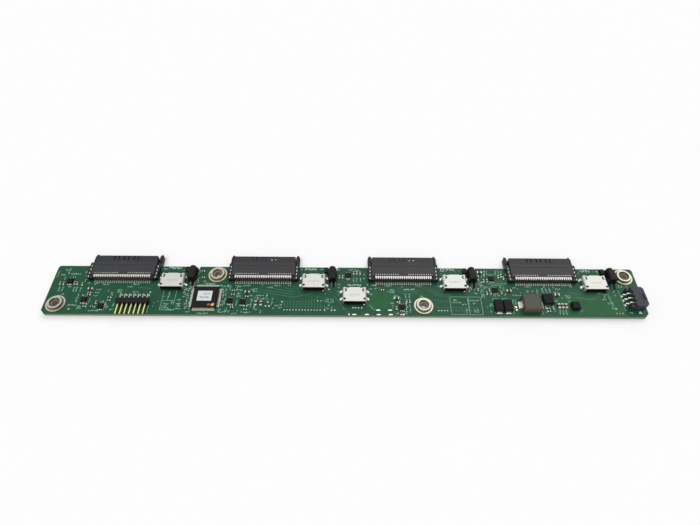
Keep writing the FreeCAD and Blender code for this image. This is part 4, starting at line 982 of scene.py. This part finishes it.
for turn, places in extraParts.items():
    out = math.radians(turn)
    middle = extraLook["length"] - 2 * extraLook["cap"]
    for x, y in places:
        bodies.append((x, y, 0, turn, middle, extraLook["width"], extraLook["height"]))
        for side in (-1, 1):
            shift = side * (extraLook["length"] - extraLook["cap"]) / 2
            ends.append((x + shift * math.cos(out), y + shift * math.sin(out), 0, turn,
                         extraLook["cap"], extraLook["width"],
                         extraLook["height"] + extraLook["capHigh"]))
spread("extra_part_bodies", plate, bodies, chipBlack)
spread("extra_part_caps", plate, ends, tin)
print("small details placed")

# vias, test pads and bare pads

viaLook = {
    "wide": 0.75, "high": 0.02, "padHigh": 0.04,
    "rows": [
        {"x": -34.7, "step": 1.69, "count": 13, "tinned": 13, "y": 3.5, "wide": 0.7,
         "vias": (5.6, 7.3, 9.0)},
        {"x": 52.1, "step": 1.66, "count": 14, "tinned": 4, "y": 3.6, "wide": 0.8,
         "vias": (5.7,)},
    ],
    "loose": [(-19.5, 10.6), (-17.8, 10.6), (-16.1, 12.2)],
    "tinned": [(-11.9, 3.5), (-8.0, 3.4), (-6.3, 3.5), (3.9, 5.1), (5.4, 5.1), (7.1, 5.1),
               (8.9, 5.1), (-44.2, 8.6), (-112.0, 14.7), (-9.9, 17.4), (-36.2, 8.8)],
    "tinnedWide": 0.9,
}


def dot(x, y, wide, high):
    # a round spot on the board
    return (x, y, 0, 0, wide, wide, high)


tinned = []
masked = []
for row in viaLook["rows"]:
    for n in range(row["count"]):
        x = row["x"] + row["step"] * n
        dots = tinned if n < row["tinned"] else masked
        dots.append(dot(x, row["y"], row["wide"], viaLook["padHigh"]))
        for y in row["vias"]:
            masked.append(dot(x, y, viaLook["wide"], viaLook["high"]))
masked += [dot(x, y, viaLook["wide"], viaLook["high"]) for x, y in viaLook["loose"]]
spread("via_dots", disc, masked, greenTrace)
underside = -laminate - viaLook["high"]
spread("underside_vias", disc, [(x, y, underside, *rest) for x, y, z, *rest in masked], greenTrace)
tinned += [dot(x, y, viaLook["tinnedWide"], viaLook["padHigh"]) for x, y in viaLook["tinned"]]
spread("tinned_vias", disc, tinned, palePrint)

testPads = {
    "high": 0.1,
    "places": [(-45.2, 5.9, 0.8), (-43.3, 5.9, 0.8), (96.2, 6.1, 1.0), (96.2, 4.4, 1.0),
               (-16.1, 9.6, 0.5)],
}
pads = [dot(*place, testPads["high"]) for place in testPads["places"]]
spread("test_pads", disc, pads, solder)

frontPads = {
    "size": (2.7, 0.85, 0.22),
    "places": [(18.2, 3.7), (24.8, 3.7), (4.7, 0.8), (11.7, 0.8), (18.3, 0.8), (25.1, 0.8)],
    "shortSize": (1.1, 0.9, 0.22),
    "shortPlaces": [(1.8, 0.85), (31.0, 0.85), (32.3, 0.85)],
}
pads = [(x, y, 0, 0, *frontPads["size"]) for x, y in frontPads["places"]]
pads += [(x, y, 0, 0, *frontPads["shortSize"]) for x, y in frontPads["shortPlaces"]]
spread("front_pads", dome, pads, solder, 60)

goldLook = {"high": 0.03, "small": 0.55, "rightDash": (1.1, 0.4), "leftDash": (0.9, 0.35),
            "dashTurn": 60}
goldSpots = [(-164.5, 29.9, 1.25), (-154.8, 3.2, 1.25), (152.6, 5.5, 1.3)]
smallGold = [(-108.3, 7.7), (-106.3, 8.6), (-108.5, 5.4), (-103.3, 11.8), (-94.3, 8.4),
             (-95.6, 3.9), (-99.6, 3.6), (79.9, 6.0), (-11.8, 14.5), (-1.3, 4.6), (-99.0, 31.0),
             (-95.8, 30.2), (64.7, 30.5), (66.8, 31.2), (59.2, 30.6), (99.3, 18.6),
             (100.6, 15.9), (95.0, 5.3), (-65.6, 1.7), (19.4, 18.6), (146.8, 31.3)]
pads = [dot(*place, goldLook["high"]) for place in goldSpots]
pads += [dot(x, y, goldLook["small"], goldLook["high"]) for x, y in smallGold]
spread("gold_dots", disc, pads, darkGold)
pads = [(x, 2.4, 0, goldLook["dashTurn"], *goldLook["rightDash"], goldLook["high"])
        for x in (152.0, 153.8, 155.5)]
pads += [(-168.5, y, 0, goldLook["dashTurn"], *goldLook["leftDash"], goldLook["high"])
         for y in (25.2, 26.3, 27.4, 28.5)]
spread("gold_dashes", plate, pads, darkGold)
print("pads laid")

# stage, light and camera

stageLook = {
    "floorSide": 8.0,
    "floorColour": (0.72, 0.72, 0.72),
    "floorRough": 0.9,
    "cameraWhite": 0.315,
    "skyDiffuse": 0.48,
    "skySeen": 1.0,
    "aim": 0.012,
}


def seenRays(tree):
    # 1 for rays from the camera, a mirror or glass
    ray = newNode(tree, "LightPath")
    total = ray.outputs["Is Camera Ray"]
    for name in ("Is Glossy Ray", "Is Transmission Ray"):
        add = newNode(tree, "Math", operation="MAXIMUM")
        tree.links.new(total, add.inputs[0])
        tree.links.new(ray.outputs[name], add.inputs[1])
        total = add.outputs["Value"]
    return total


def stageFinish():
    # a pale floor that reads as white to the eye and keeps the soft shadow
    material = bpy.data.materials.new("pale_floor")
    material.use_nodes = True
    tree = material.node_tree
    shader = tree.nodes["Principled BSDF"]
    setSockets(shader, {"Base Color": (*stageLook["floorColour"], 1),
                        "Roughness": stageLook["floorRough"], "Specular IOR Level": 0.0})
    glow = newNode(tree, "Emission")
    share = newNode(tree, "Math", {1: stageLook["cameraWhite"]}, "MULTIPLY")
    tree.links.new(seenRays(tree), share.inputs[0])
    tree.links.new(share.outputs["Value"], glow.inputs["Strength"])
    both = newNode(tree, "AddShader")
    tree.links.new(shader.outputs["BSDF"], both.inputs[0])
    tree.links.new(glow.outputs["Emission"], both.inputs[1])
    output = tree.nodes["Material Output"]
    tree.links.new(both.outputs["Shader"], output.inputs["Surface"])
    return material


for stamp in (plate, disc, dome, cone, wedge):
    bpy.data.objects.remove(stamp)
deselectAll()
bpy.ops.mesh.primitive_plane_add(size=stageLook["floorSide"], location=(middleX, 0, 0))
floor = bpy.context.object
floor.name = "floor"
dress(floor, stageFinish())

world = bpy.data.worlds.new("studio")
bpy.context.scene.world = world
world.use_nodes = True
tree = world.node_tree
background = tree.nodes["Background"]
background.inputs["Color"].default_value = (1, 1, 1, 1)
level = newNode(tree, "MapRange", {"To Min": stageLook["skyDiffuse"],
                                   "To Max": stageLook["skySeen"]})
tree.links.new(seenRays(tree), level.inputs["Value"])
tree.links.new(level.outputs["Result"], background.inputs["Strength"])

lamps = {
    "key": {"place": (-0.35, -0.45, 0.95), "spread": 40, "strength": 1.0},
    "back": {"place": (0.35, 0.55, 0.85), "spread": 50, "strength": 0.7},
}
target = Vector((middleX, stageLook["aim"], 0))
for name, lamp in lamps.items():
    place = target + Vector(lamp["place"])
    bpy.ops.object.light_add(type="SUN", location=place)
    light = bpy.context.object
    light.name = name + "_light"
    light.data.angle = math.radians(lamp["spread"])
    light.data.energy = lamp["strength"]
    light.rotation_euler = (target - place).to_track_quat("-Z", "Y").to_euler()

cameraLook = {
    "place": (0.3, -145.9, 245.2),
    "down": 53.3,
    "yaw": 0.61,
    "roll": -0.88,
    "lens": 26.23,
    "sensor": 36.0,
    "near": 0.005,
}
down = math.radians(cameraLook["down"])
yaw = math.radians(cameraLook["yaw"])
roll = math.radians(cameraLook["roll"])
forward = Vector((math.sin(yaw) * math.cos(down), math.cos(yaw) * math.cos(down), -math.sin(down)))
right = Vector((math.cos(yaw), -math.sin(yaw), 0))
below = forward.cross(right)
rightTurned = math.cos(roll) * right + math.sin(roll) * below
belowTurned = -math.sin(roll) * right + math.cos(roll) * below
axes = Matrix((rightTurned, -belowTurned, -forward)).transposed().to_4x4()
bpy.ops.object.camera_add()
camera = bpy.context.object
camera.matrix_world = Matrix.Translation(spot(*cameraLook["place"])) @ axes
camera.data.lens = cameraLook["lens"]
camera.data.sensor_width = cameraLook["sensor"]
camera.data.clip_start = cameraLook["near"]
bpy.context.scene.camera = camera
bpy.context.scene.view_settings.view_transform = "Standard"
print("stage set")
